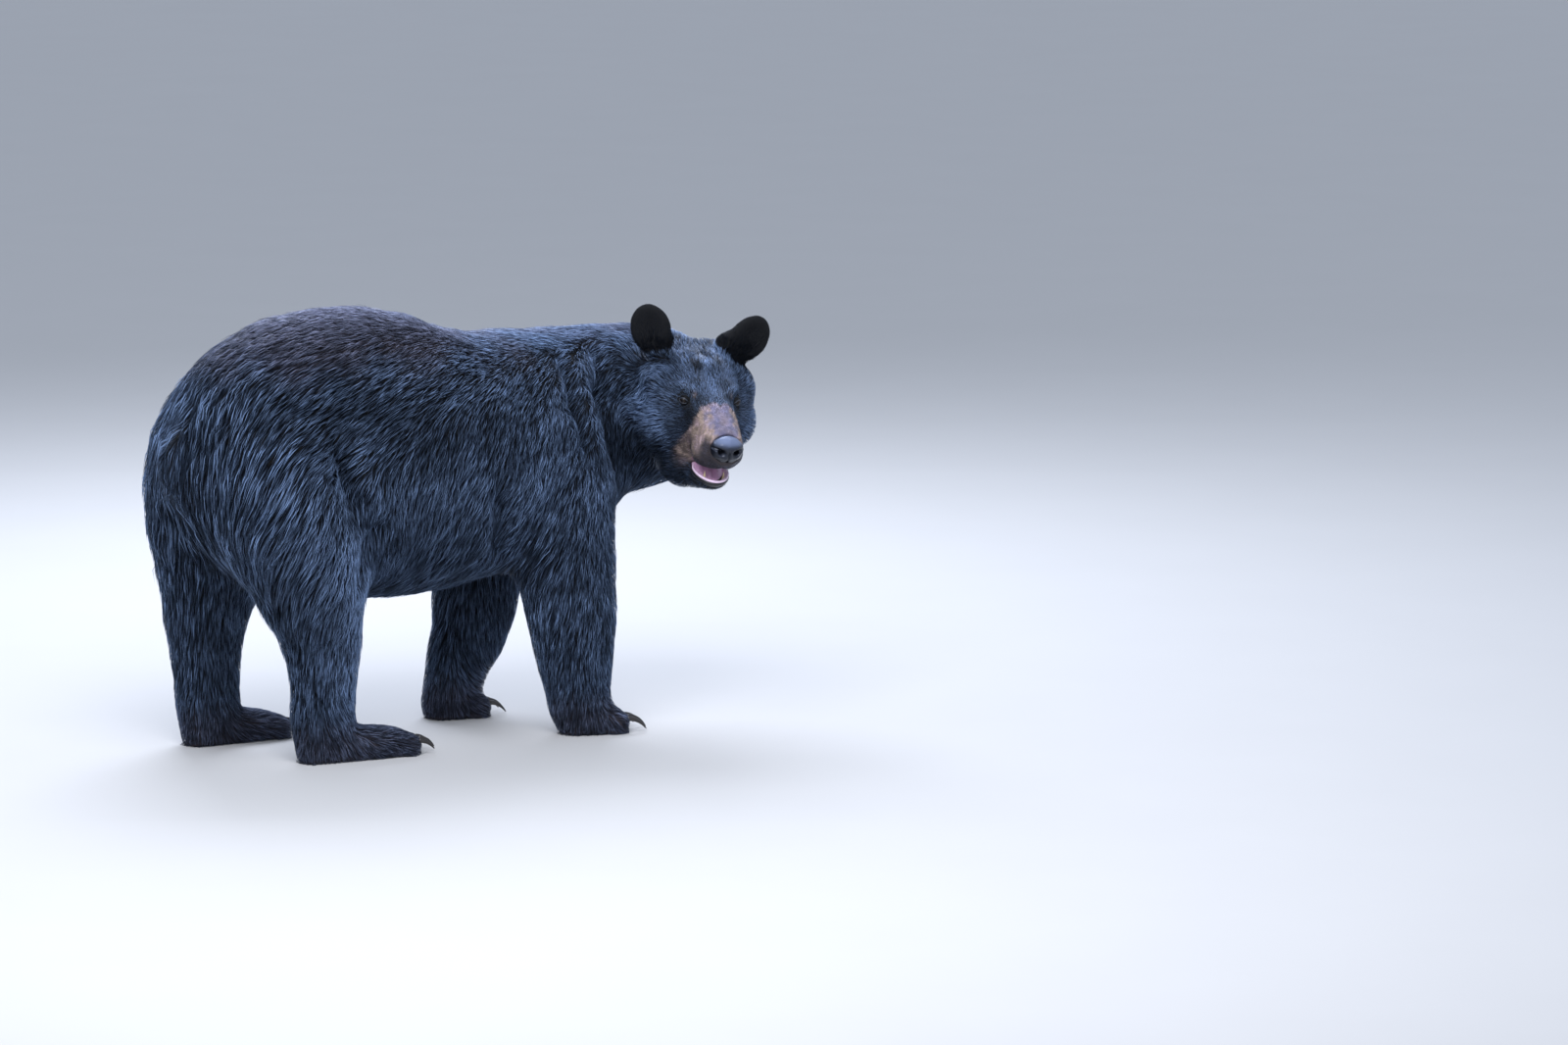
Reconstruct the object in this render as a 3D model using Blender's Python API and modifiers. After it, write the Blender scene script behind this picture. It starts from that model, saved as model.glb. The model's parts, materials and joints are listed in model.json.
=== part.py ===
"""Life-size standing black bear, head turned to its right, as a museum model.

Metres, +Z up, +X the way the body faces, +Y its left. The solids reach to the tips of the coat.
The masses of the body are lofted, melted into one surface and parted into named pieces by thin cuts.
"""

import math

import bmesh
import bpy
from mathutils import Matrix, Vector

# Driving dimensions
GAP = 0.0006  # thickness of a parting cut
TOUCH_GAP = 0.0004  # room between a set-in piece and its seat
TRUNK_VOXEL = 0.013
FINE_VOXEL = 0.0058
BODY_TRIANGLES = 2000
HEAD_TRIANGLES = 2100
SOLE_DEPTH = 0.006  # how far the feet reach below the floor before the soles are cut flat

# Trunk: along, aside, back line, belly line, half width
TRUNK = (
    (-0.518, 0.00, 0.690, 0.500, 0.096),
    (-0.482, 0.00, 0.768, 0.430, 0.160),
    (-0.418, 0.00, 0.842, 0.375, 0.210),
    (-0.325, 0.00, 0.898, 0.345, 0.244),
    (-0.220, 0.00, 0.934, 0.325, 0.264),
    (-0.100, 0.00, 0.932, 0.312, 0.272),
    (0.030, 0.00, 0.894, 0.308, 0.272),
    (0.150, 0.00, 0.867, 0.325, 0.262),
    (0.280, 0.00, 0.858, 0.355, 0.240),
    (0.370, 0.00, 0.860, 0.380, 0.214),
    (0.440, -0.005, 0.855, 0.420, 0.178),
    (0.500, -0.015, 0.832, 0.485, 0.130),
)
TRUNK_DOME = 0.3  # how far the trunk's ends bulge, as a share of their smaller half size
# Neck: along, aside, up, half width, half height
NECK = (
    (0.350, 0.000, 0.655, 0.182, 0.202),
    (0.455, -0.006, 0.668, 0.164, 0.189),
    (0.550, -0.034, 0.671, 0.148, 0.186),
    (0.617, -0.088, 0.674, 0.136, 0.176),
    (0.622, -0.160, 0.677, 0.122, 0.164),
)
TAIL = (
    (-0.498, 0.0, 0.722, 0.046, 0.030),
    (-0.544, 0.0, 0.672, 0.038, 0.024),
    (-0.560, 0.0, 0.618, 0.030, 0.020),
    (-0.558, 0.0, 0.578, 0.020, 0.015),
)
# Legs: along, aside, up, half width, half depth; aside is away from the midline
FORELEG_RIGHT = (
    (0.290, 0.115, 0.660, 0.118, 0.165),
    (0.295, 0.150, 0.510, 0.108, 0.150),
    (0.320, 0.162, 0.360, 0.092, 0.118),
    (0.336, 0.166, 0.210, 0.082, 0.100),
    (0.345, 0.166, 0.110, 0.068, 0.080),
    (0.350, 0.166, 0.045, 0.064, 0.072),
)
FORELEG_LEFT = (
    (0.300, 0.115, 0.660, 0.118, 0.160),
    (0.305, 0.145, 0.510, 0.108, 0.145),
    (0.300, 0.150, 0.360, 0.092, 0.114),
    (0.280, 0.147, 0.210, 0.079, 0.097),
    (0.238, 0.144, 0.110, 0.064, 0.077),
    (0.220, 0.143, 0.045, 0.060, 0.068),
)
HINDLEG_RIGHT = (
    (-0.335, 0.115, 0.680, 0.142, 0.180),
    (-0.342, 0.140, 0.530, 0.134, 0.176),
    (-0.306, 0.146, 0.390, 0.118, 0.134),
    (-0.274, 0.140, 0.260, 0.083, 0.091),
    (-0.268, 0.133, 0.150, 0.065, 0.076),
    (-0.266, 0.128, 0.060, 0.062, 0.076),
)
HINDLEG_LEFT = (
    (-0.345, 0.115, 0.680, 0.140, 0.168),
    (-0.357, 0.140, 0.530, 0.132, 0.170),
    (-0.362, 0.156, 0.390, 0.114, 0.131),
    (-0.370, 0.172, 0.260, 0.082, 0.092),
    (-0.366, 0.178, 0.140, 0.065, 0.077),
    (-0.362, 0.178, 0.060, 0.062, 0.076),
)
# Feet: heel along and aside, length, half width, turn out, claw length
FEET = {
    "forepaw_right": ((0.290, -0.166), 0.165, 0.066, math.radians(-4), 0.044),
    "forepaw_left": ((0.150, 0.143), 0.158, 0.064, math.radians(4), 0.044),
    "hindpaw_right": ((-0.335, -0.127), 0.290, 0.062, math.radians(-2), 0.034),
    "hindpaw_left": ((-0.432, 0.178), 0.262, 0.062, math.radians(2), 0.034),
}
TOES = 5
TOE_BALL = (0.032, 0.0165, 0.027)
CLAW_SEAT = 0.012  # how deep a claw sits in its toe
CLAW_HALF = (0.0036, 0.0062)  # half width and half depth at the root
CLAW_BEND = math.radians(58)
CLAW_TIP_SHARE = 0.18

# Head: its own frame has +X out of the nose, +Y to its left and its origin between the ears
HEAD_AT = Vector((0.605, -0.235, 0.6995))
HEAD_TURN = math.radians(-107)
HEAD_DROP = math.radians(13)
HEAD_LEAN = math.radians(-4.8)
HEAD_SCALE = 1.03
# along, crown line, lower line, half width
SKULL = (
    (-0.125, 0.055, -0.070, 0.075),
    (-0.085, 0.094, -0.112, 0.114),
    (-0.030, 0.112, -0.138, 0.128),
    (0.020, 0.110, -0.142, 0.112),
    (0.060, 0.093, -0.122, 0.083),
    (0.095, 0.067, -0.078, 0.061),
    (0.133, 0.044, -0.063, 0.052),
    (0.175, 0.029, -0.066, 0.049),
    (0.208, 0.018, -0.066, 0.044),
    (0.226, 0.007, -0.060, 0.037),
)
# middle, half sizes and turn out of the balls that fill the head's form on each side
HEAD_BALLS = (
    ((0.000, 0.068, -0.032), (0.084, 0.064, 0.072), 12),
    ((-0.010, 0.062, 0.024), (0.080, 0.066, 0.068), 0),
    ((0.050, 0.030, 0.052), (0.044, 0.034, 0.030), 0),
    ((0.036, 0.054, -0.006), (0.056, 0.036, 0.040), 15),
    ((0.162, 0.024, -0.038), (0.060, 0.029, 0.038), 0),
    ((0.060, 0.028, -0.086), (0.052, 0.034, 0.050), 0),
    ((0.035, 0.020, -0.108), (0.085, 0.060, 0.066), 0),
    ((-0.085, 0.044, 0.028), (0.085, 0.080, 0.084), 0),
)
# Lower jaw while shut: along, aside, upper line, lower line, half width
JAW = (
    (0.040, 0.0, -0.060, -0.128, 0.076),
    (0.085, 0.0, -0.064, -0.120, 0.060),
    (0.125, 0.0, -0.068, -0.111, 0.046),
    (0.163, 0.0, -0.069, -0.102, 0.039),
    (0.192, 0.0, -0.068, -0.095, 0.031),
)
JAW_JOINT = Vector((0.0, 0.0, -0.030))
JAW_OPENING = math.radians(9)
MOUTH_HOLLOW = ((0.158, 0.0, -0.072), (0.046, 0.032, 0.016))  # in the shut jaw's frame
TONGUE = (
    (0.108, 0.0, -0.0780, 0.0160, 0.0090),
    (0.140, 0.0, -0.0785, 0.0210, 0.0115),
    (0.165, 0.0, -0.0795, 0.0175, 0.0095),
    (0.184, 0.0, -0.0810, 0.0110, 0.0055),
)
CANINE_PLACE = (0.186, 0.0205, -0.083)
CANINE_HEIGHT = 0.025
CANINE_HALF = 0.0042
JAW_CUT = ((0.125, -0.080), (0.0, -0.190))  # along and up, from the open lips back to the throat

EYE_RADIUS = 0.0115
EYE_PLACE = (0.0850, 0.0565, 0.034)
NOSE_PLACE = (0.228, 0.0, -0.016)
NOSE_SIZE = (0.025, 0.035, 0.031)
NOSTRIL_PLACE = (0.2490, 0.0165, -0.018)
NOSTRIL_SIZE = (0.011, 0.0068, 0.0055)
EAR_FOOT = {-1: (-0.032, -0.098, 0.100), 1: (-0.032, 0.084, 0.088)}
EAR_OUTER = ((0.0, 0.0, 0.052), (0.018, 0.047, 0.060))
EAR_ROOT = {-1: (-0.004, 0.008, 0.016), 1: (-0.004, -0.024, 0.014)}
EAR_ROOT_SIZE = (0.020, 0.040, 0.036)
EAR_CUP = ((0.018, 0.0, 0.060), (0.015, 0.036, 0.044))
EAR_SPREAD = {-1: math.radians(17), 1: math.radians(27)}
EAR_FACING = {-1: math.radians(20), 1: math.radians(4)}  # how far each cup looks outward
EAR_CUT = 0.030  # height of the parting cut above the ear's foot

# Parting cuts: middle, normal, the way its length runs, length and width
HEAD_CUT = ((0.456, -0.182, 0.750), (0.70, -0.71, 0.0), (0.71, 0.70, 0.0), 0.9, 0.6)
HEAD_SIDE = 0.6  # thickness of the block that holds the head's side of its cut
SPARE = 0.008  # left beyond that cut while each side is reduced
TRUNK_CUTS = (
    ((0.430, 0.0, 0.660), (0.95, 0.0, 0.32), (0.0, 1.0, 0.0), 0.70, 0.62),
    ((0.150, 0.0, 0.630), (1.0, 0.0, 0.0), (0.0, 1.0, 0.0), 0.70, 0.70),
    ((-0.110, 0.0, 0.630), (1.0, 0.0, 0.0), (0.0, 1.0, 0.0), 0.70, 0.70),
    ((-0.547, 0.0, 0.630), (1.0, 0.0, 0.0), (0.0, 1.0, 0.0), 0.14, 0.20),
)
# the same for both sides of the body, aside being away from the midline
HIP_CUT = ((-0.365, 0.160, 0.395), (0.0, -0.27, 0.32), (1.0, 0.0, 0.0), 0.51, 0.44)
SHOULDER_CUT = ((0.340, 0.150, 0.4025), (0.0, -0.255, 0.30), (1.0, 0.0, 0.0), 0.38, 0.42)
# one leg each: middle, length along and width across of a level cut
LEVEL_CUTS = (
    ((0.327, -0.164, 0.300), 0.30, 0.24),
    ((0.291, 0.148, 0.300), 0.30, 0.24),
    ((0.345, -0.166, 0.102), 0.24, 0.20),
    ((0.236, 0.144, 0.102), 0.24, 0.20),
    ((-0.276, -0.141, 0.258), 0.30, 0.24),
    ((-0.369, 0.171, 0.258), 0.30, 0.24),
    ((-0.267, -0.131, 0.104), 0.24, 0.20),
    ((-0.365, 0.178, 0.104), 0.24, 0.20),
)
# a point near the middle of each piece of the body
BODY_SEEDS = {
    "neck": (0.530, -0.060, 0.680),
    "chest": (0.300, 0.000, 0.620),
    "belly": (0.020, 0.000, 0.610),
    "rump": (-0.340, 0.000, 0.640),
    "tail": (-0.565, 0.000, 0.620),
    "upper_arm_right": (0.310, -0.170, 0.400),
    "upper_arm_left": (0.300, 0.170, 0.400),
    "forearm_right": (0.335, -0.165, 0.200),
    "forearm_left": (0.270, 0.147, 0.200),
    "forepaw_right": (0.370, -0.166, 0.050),
    "forepaw_left": (0.230, 0.143, 0.050),
    "thigh_right": (-0.320, -0.160, 0.370),
    "thigh_left": (-0.350, 0.160, 0.370),
    "shank_right": (-0.270, -0.135, 0.180),
    "shank_left": (-0.368, 0.177, 0.180),
    "hindpaw_right": (-0.190, -0.127, 0.050),
    "hindpaw_left": (-0.300, 0.178, 0.050),
}
# the same in the head's frame
HEAD_SEEDS = {
    "head": (0.000, 0.000, 0.000),
    "jaw": (0.130, 0.000, -0.120),
    "ear_right": (-0.032, -0.120, 0.150),
    "ear_left": (-0.032, 0.120, 0.150),
}

# Linear colour and roughness
BLACK_FUR = ((0.012, 0.014, 0.019), 0.55)
NOSE_LEATHER = ((0.020, 0.020, 0.026), 0.35)
CLAW_HORN = ((0.030, 0.026, 0.024), 0.35)
EYE_BROWN = ((0.025, 0.012, 0.007), 0.05)
TONGUE_PINK = ((0.30, 0.13, 0.16), 0.4)
TOOTH_IVORY = ((0.62, 0.50, 0.30), 0.35)


def clear_scene():
    for obj in list(bpy.data.objects):
        bpy.data.objects.remove(obj)


def material(name, finish):
    colour, roughness = finish
    made = bpy.data.materials.new(name)
    made.use_nodes = True
    shader = made.node_tree.nodes["Principled BSDF"]
    shader.inputs["Base Color"].default_value = (*colour, 1)
    shader.inputs["Roughness"].default_value = roughness
    return made


def spline(rows, per_span):
    """Catmull-Rom rows through the given rows."""
    rows = [Vector(row) for row in rows]
    ends = [2 * rows[0] - rows[1], *rows, 2 * rows[-1] - rows[-2]]
    found = []
    for i in range(1, len(ends) - 2):
        a, b, c, d = ends[i - 1 : i + 3]
        for k in range(per_span):
            t = k / per_span
            line = 2 * b + (c - a) * t
            bend = (2 * a - 5 * b + 4 * c - d) * t * t
            twist = (3 * b - a - 3 * c + d) * t**3
            found.append((line + bend + twist) / 2)
    return [*found, rows[-1]]


def ring(bm, centre, across, other, halves, power, sides):
    """A superellipse of vertices; power 2 is an ellipse and more is squarer."""
    found = []
    for k in range(sides):
        turn = 2 * math.pi * k / sides
        c, s = math.cos(turn), math.sin(turn)
        out = across * halves[0] * math.copysign(abs(c) ** (2 / power), c)
        out = out + other * halves[1] * math.copysign(abs(s) ** (2 / power), s)
        found.append(bm.verts.new(centre + out))
    return found


def loft(rows, across=Vector((0, 1, 0)), power=2.0, sides=28, per_span=5, dome=0.7):
    """A closed tube through rows of (x, y, z, half width, half depth), its ends domed or flat."""
    rows = spline([tuple(row) for row in rows], per_span)
    bm = bmesh.new()
    rings = []
    last = len(rows) - 1
    for i, row in enumerate(rows):
        centre = Vector(row[:3])
        before, after = rows[max(i - 1, 0)], rows[min(i + 1, last)]
        along = (Vector(after[:3]) - Vector(before[:3])).normalized()
        side = (across - along * across.dot(along)).normalized()
        other = along.cross(side)
        steps = [(Vector(), 1)]
        if dome and i in (0, last):
            outward = -along if i == 0 else along
            reach = dome * min(row[3], row[4])
            for turn in (30, 60, 85):
                angle = math.radians(turn)
                steps.append((outward * math.sin(angle) * reach, math.cos(angle)))
        for push, share in steps[::-1] if i == 0 else steps:
            halves = (row[3] * share, row[4] * share)
            rings.append(ring(bm, centre + push, side, other, halves, power, sides))
    for first, second in zip(rings, rings[1:]):
        for k in range(sides):
            n = (k + 1) % sides
            bm.faces.new((first[k], first[n], second[n], second[k]))
    bm.faces.new(rings[0][::-1])
    bm.faces.new(rings[-1])
    bmesh.ops.recalc_face_normals(bm, faces=bm.faces)
    return bm


def profile_loft(rows, power, dome=0.7):
    """A loft along X from rows of (along, aside, top, bottom, half width)."""
    sized = []
    for along, aside, top, bottom, half in rows:
        sized.append((along, aside, (top + bottom) / 2, half, (top - bottom) / 2))
    return loft(sized, power=power, dome=dome)


def ball(centre, radii, turn=Matrix(), fine=3):
    """An ellipsoid."""
    bm = bmesh.new()
    bmesh.ops.create_icosphere(bm, subdivisions=fine, radius=1)
    place = Matrix.Translation(Vector(centre)) @ turn @ Matrix.Diagonal((*radii, 1))
    return moved(bm, place)


def block(centre, normal, along, length, width, thickness):
    """A box with one face pair across normal."""
    normal = Vector(normal).normalized()
    along = Vector(along)
    side = (along - normal * along.dot(normal)).normalized()
    other = normal.cross(side)
    bm = bmesh.new()
    bmesh.ops.create_cube(bm, size=1)
    turn = Matrix((side, other, normal)).transposed().to_4x4()
    size = Matrix.Diagonal((length, width, thickness, 1))
    return moved(bm, Matrix.Translation(Vector(centre)) @ turn @ size)


def saw(cut):
    """The thin box of one parting cut."""
    return block(*cut, GAP)


def moved(bm, place):
    bmesh.ops.transform(bm, matrix=place, verts=bm.verts)
    return bm


def grown(radii, extra):
    return tuple(radius + extra for radius in radii)


def mesh_of(name, bm):
    mesh = bpy.data.meshes.new(name)
    bm.to_mesh(mesh)
    bm.free()
    return mesh


def bmesh_of(mesh):
    bm = bmesh.new()
    bm.from_mesh(mesh)
    return bm


def joined(shapes):
    """One bmesh of several, which are freed."""
    bm = bmesh.new()
    for shape in shapes:
        scratch = mesh_of("scratch", shape)
        bm.from_mesh(scratch)
        bpy.data.meshes.remove(scratch)
    return bm


def temporary(mesh):
    obj = bpy.data.objects.new("temporary", mesh)
    bpy.context.scene.collection.objects.link(obj)
    return obj


def evaluated(obj):
    """The object's mesh with its modifiers applied; the object is removed."""
    bpy.context.view_layer.update()
    graph = bpy.context.evaluated_depsgraph_get()
    mesh = bpy.data.meshes.new_from_object(obj.evaluated_get(graph))
    bpy.data.objects.remove(obj)
    return mesh


def melted(shapes, voxel, smoothing):
    """The shapes melted into one closed surface and smoothed."""
    obj = temporary(mesh_of("melted", joined(shapes)))
    remesh = obj.modifiers.new("Melt", "REMESH")
    remesh.mode = "VOXEL"
    remesh.voxel_size = voxel
    smooth = obj.modifiers.new("Smooth", "SMOOTH")
    smooth.factor = 0.5
    smooth.iterations = smoothing
    return bmesh_of(evaluated(obj))


def reduced(bm, triangles):
    count = sum(len(face.verts) - 2 for face in bm.faces)
    obj = temporary(mesh_of("reduced", bm))
    reduce = obj.modifiers.new("Reduce", "DECIMATE")
    reduce.ratio = min(1.0, triangles / count)
    reduce.use_collapse_triangulate = True
    return bmesh_of(evaluated(obj))


def boolean(bm, cutter, operation="DIFFERENCE"):
    """The first shape cut by, joined to or kept within the second."""
    obj = temporary(mesh_of("body", bm))
    tool = temporary(mesh_of("cutter", cutter))
    change = obj.modifiers.new("Cut", "BOOLEAN")
    change.operation = operation
    change.solver = "EXACT"
    change.object = tool
    made = evaluated(obj)
    bpy.data.objects.remove(tool)
    return bmesh_of(made)


def pieces_of(bm):
    """Each connected piece as its own bmesh."""
    left = set(bm.verts)
    groups = []
    while left:
        seen, todo = set(), [next(iter(left))]
        while todo:
            vert = todo.pop()
            if vert in seen:
                continue
            seen.add(vert)
            todo += [edge.other_vert(vert) for edge in vert.link_edges]
        left -= seen
        groups.append({vert.index for vert in seen})
    found = []
    for group in sorted(groups, key=min):
        part = bm.copy()
        others = [vert for vert in part.verts if vert.index not in group]
        bmesh.ops.delete(part, geom=others, context="VERTS")
        found.append(part)
    return found


def centre_of(bm):
    low = [min(vert.co[i] for vert in bm.verts) for i in range(3)]
    high = [max(vert.co[i] for vert in bm.verts) for i in range(3)]
    return (Vector(low) + Vector(high)) / 2


def named_pieces(bm, seeds):
    """Each connected piece under the name whose seed its middle is nearest."""
    found = {}
    for part in pieces_of(bm):
        centre = centre_of(part)
        name = min(seeds, key=lambda key: (Vector(seeds[key]) - centre).length)
        assert name not in found, name
        found[name] = part
    assert len(found) == len(seeds), sorted(set(seeds) - set(found))
    return found


def add_node(name, bm, finish):
    obj = bpy.data.objects.new(name, mesh_of(name, bm))
    PARTS.objects.link(obj)
    obj.data.materials.append(finish)


def sided(rows, side):
    """Rows with their distance from the midline on one side, +1 left and -1 right."""
    return [(row[0], side * row[1], *row[2:]) for row in rows]


def head_place():
    turn = Matrix.Rotation(HEAD_TURN, 4, "Z")
    drop = Matrix.Rotation(HEAD_DROP, 4, "Y")
    lean = Matrix.Rotation(HEAD_LEAN, 4, "X")
    return Matrix.Translation(HEAD_AT) @ turn @ drop @ lean @ Matrix.Scale(HEAD_SCALE, 4)


def jaw_place():
    """Where a point of the shut jaw goes when the mouth is open, in the head's frame."""
    there = Matrix.Translation(JAW_JOINT)
    return there @ Matrix.Rotation(JAW_OPENING, 4, "Y") @ there.inverted()


def ear_place(side):
    spread = Matrix.Rotation(-side * EAR_SPREAD[side], 4, "X")
    facing = Matrix.Rotation(side * EAR_FACING[side], 4, "Z")
    return Matrix.Translation(EAR_FOOT[side]) @ spread @ facing


def foot_place(name):
    (along, aside), _, _, turn, _ = FEET[name]
    return Matrix.Translation((along, aside, 0)) @ Matrix.Rotation(turn, 4, "Z")


def toe_spots(name):
    """Each toe's middle, in the foot's frame."""
    _, length, half, _, _ = FEET[name]
    for k in range(TOES):
        share = 2 * k / (TOES - 1) - 1
        yield Vector((length - 0.022 - 0.018 * share * share, half * 0.80 * share, 0.020))


def foot_shapes(name):
    """The foot from heel to toes, in the body's frame, deep enough to be cut flat below."""
    _, length, half, _, _ = FEET[name]
    place = foot_place(name)
    rows = (
        (0.032, 0.0, 0.034, half * 0.68, 0.034 + SOLE_DEPTH),
        (length * 0.40, 0.0, 0.034, half * 0.88, 0.034 + SOLE_DEPTH),
        (length * 0.72, 0.0, 0.029, half, 0.029 + SOLE_DEPTH),
        (length - 0.045, 0.0, 0.024, half * 0.92, 0.024 + SOLE_DEPTH),
    )
    found = [moved(loft(rows, power=2.3), place)]
    for spot in toe_spots(name):
        found.append(moved(ball(spot, TOE_BALL), place))
    return found


def claw(name, spot, extra=0.0):
    """A claw curving forward and down from its toe, in the body's frame."""
    length = FEET[name][4] + CLAW_SEAT
    steps = 4
    rows = []
    for k in range(steps + 1):
        t = k / steps
        bend = CLAW_BEND * t
        along = spot.x + TOE_BALL[0] - CLAW_SEAT + length * math.sin(bend) / CLAW_BEND
        up = spot.z + 0.011 - length * (1 - math.cos(bend)) / CLAW_BEND
        share = 1 - (1 - CLAW_TIP_SHARE) * t**1.6
        if k == 0:
            along -= extra
        halves = (CLAW_HALF[0] * share + extra, CLAW_HALF[1] * share + extra)
        rows.append((along, spot.y, up, *halves))
    made = loft(rows, sides=6, per_span=1, dome=0.0)
    return moved(made, foot_place(name))


def melt_whole():
    """The whole animal in one surface, in the body's frame."""
    masses = [
        profile_loft(TRUNK, 2.15, TRUNK_DOME),
        loft(NECK),
        loft(sided(FORELEG_RIGHT, -1)),
        loft(sided(FORELEG_LEFT, 1)),
        loft(sided(HINDLEG_RIGHT, -1)),
        loft(sided(HINDLEG_LEFT, 1)),
    ]
    masses += [moved(shape, head_place()) for shape in head_masses()]
    shapes = [melted(masses, TRUNK_VOXEL, 14), loft(TAIL)]
    for name in FEET:
        shapes += foot_shapes(name)
    shapes += [moved(shape, head_place()) for shape in head_shapes()]
    return melted(shapes, FINE_VOXEL, 6)


def head_masses():
    """Skull, muzzle, cheeks, brows and throat, in the head's frame."""
    skull = [(along, 0.0, top, bottom, half) for along, top, bottom, half in SKULL]
    masses = [profile_loft(skull, 2.2)]
    for side in (-1, 1):
        for (along, aside, up), radii, turn in HEAD_BALLS:
            out = Matrix.Rotation(math.radians(turn * side), 4, "Z")
            masses.append(ball((along, aside * side, up), radii, out))
    return masses


def head_shapes():
    """The head's masses melted, with the open jaw and cupped ears, in the head's frame."""
    head = melted(head_masses(), FINE_VOXEL, 16)
    shapes = [head, moved(profile_loft(JAW, 2.2), jaw_place())]
    for side in (-1, 1):
        cupped = boolean(ball(*EAR_OUTER), ball(*EAR_CUP))
        shapes.append(moved(cupped, ear_place(side)))
        shapes.append(moved(ball(EAR_ROOT[side], EAR_ROOT_SIZE), ear_place(side)))
    return shapes


def part_body(bm):
    """Flat soles, claw seats and parting cuts; returns the named pieces."""
    below = block((0, 0, -0.5), (0, 0, 1), (1, 0, 0), 3, 3, 1)
    bm = boolean(bm, below)
    for cut in TRUNK_CUTS:
        bm = boolean(bm, saw(cut))
    for middle, normal, *rest in (HIP_CUT, SHOULDER_CUT):
        for side in (-1, 1):
            there = (middle[0], side * middle[1], middle[2])
            across = (normal[0], side * normal[1], normal[2])
            bm = boolean(bm, saw((there, across, *rest)))
    for middle, length, width in LEVEL_CUTS:
        bm = boolean(bm, saw((middle, (0, 0, 1), (1, 0, 0), length, width)))
    for name in FEET:
        seats = [claw(name, spot, TOUCH_GAP) for spot in toe_spots(name)]
        bm = boolean(bm, joined(seats))
    return named_pieces(bm, BODY_SEEDS)


def tongue(extra=0.0):
    rows = [(*row[:3], *grown(row[3:], extra)) for row in TONGUE]
    return moved(loft(rows, sides=10, per_span=1), jaw_place())


def canine(side, extra=0.0):
    """A lower canine: a cone curving a little back."""
    along, aside, up = CANINE_PLACE
    rows = []
    for t in (0.0, 0.4, 0.75, 1.0):
        half = CANINE_HALF * (1 - 0.8 * t**1.5) + extra
        rows.append((along - 0.004 * t * t, side * aside, up + CANINE_HEIGHT * t, half, half))
    rows[0] = (*rows[0][:2], rows[0][2] - extra, *rows[0][3:])
    return moved(loft(rows, sides=8, per_span=1, dome=0.0), jaw_place())


def part_head(bm):
    """Mouth, seats of the set-in pieces and parting cuts; returns the named pieces."""
    place = head_place()
    middle, radii = MOUTH_HOLLOW
    bm = boolean(bm, moved(ball(middle, radii, fine=2), place @ jaw_place()))
    bm = boolean(bm, moved(ball(NOSE_PLACE, grown(NOSE_SIZE, TOUCH_GAP), fine=2), place))
    bm = boolean(bm, moved(tongue(TOUCH_GAP), place))
    for side in (-1, 1):
        eye = (EYE_PLACE[0], side * EYE_PLACE[1], EYE_PLACE[2])
        bm = boolean(bm, moved(ball(eye, (EYE_RADIUS + TOUCH_GAP,) * 3, fine=2), place))
        bm = boolean(bm, moved(canine(side, TOUCH_GAP), place))
        cut = ((0, 0, EAR_CUT), (0, 0, 1), (0, 1, 0), 0.13, 0.09)
        bm = boolean(bm, moved(saw(cut), place @ ear_place(side)))
    (x0, z0), (x1, z1) = JAW_CUT
    run = Vector((x1 - x0, 0, z1 - z0))
    cut = (((x0 + x1) / 2, 0, (z0 + z1) / 2), run.cross(Vector((0, 1, 0))), run, run.length, 0.4)
    bm = boolean(bm, moved(saw(cut), place))
    seeds = {name: place @ Vector(spot) for name, spot in HEAD_SEEDS.items()}
    return named_pieces(bm, seeds)


def head_block(shift):
    """The block that holds the head, its cut face moved towards the nose by shift."""
    middle, normal, along, length, width = HEAD_CUT
    normal = Vector(normal).normalized()
    centre = Vector(middle) + normal * (HEAD_SIDE / 2 + shift)
    return block(centre, normal, along, length, width, HEAD_SIDE)


def build():
    """Every node, in the body's frame."""
    fur = material("black_fur", BLACK_FUR)
    whole = melt_whole()
    head = boolean(whole.copy(), head_block(-SPARE), "INTERSECT")
    head = boolean(reduced(head, HEAD_TRIANGLES), head_block(GAP / 2), "INTERSECT")
    body = boolean(whole, head_block(SPARE))
    body = boolean(reduced(body, BODY_TRIANGLES), head_block(-GAP / 2))
    for pieces in (part_head(head), part_body(body)):
        for name, piece in pieces.items():
            add_node(name, piece, fur)
    horn = material("claw_horn", CLAW_HORN)
    for name in FEET:
        for k, spot in enumerate(toe_spots(name)):
            add_node(f"{name}_claw_{k + 1}", claw(name, spot), horn)
    place = head_place()
    eye_glass = material("eye_brown", EYE_BROWN)
    ivory = material("tooth_ivory", TOOTH_IVORY)
    for side, word in ((-1, "right"), (1, "left")):
        eye = (EYE_PLACE[0], side * EYE_PLACE[1], EYE_PLACE[2])
        add_node("eye_" + word, moved(ball(eye, (EYE_RADIUS,) * 3, fine=2), place), eye_glass)
        add_node("canine_" + word, moved(canine(side), place), ivory)
    nose = ball(NOSE_PLACE, NOSE_SIZE, fine=2)
    for side in (-1, 1):
        nostril = (NOSTRIL_PLACE[0], side * NOSTRIL_PLACE[1], NOSTRIL_PLACE[2])
        nose = boolean(nose, ball(nostril, NOSTRIL_SIZE, fine=2))
    add_node("nose", moved(nose, place), material("nose_leather", NOSE_LEATHER))
    add_node("tongue", moved(tongue(), place), material("tongue_pink", TONGUE_PINK))


def centre_on_floor():
    """Moves every node so the middle of the bounding box is over the origin."""
    places = [vert.co for obj in PARTS.objects for vert in obj.data.vertices]
    shift = [-(min(p[i] for p in places) + max(p[i] for p in places)) / 2 for i in (0, 1)]
    for obj in PARTS.objects:
        obj.data.transform(Matrix.Translation((*shift, 0)))


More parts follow.
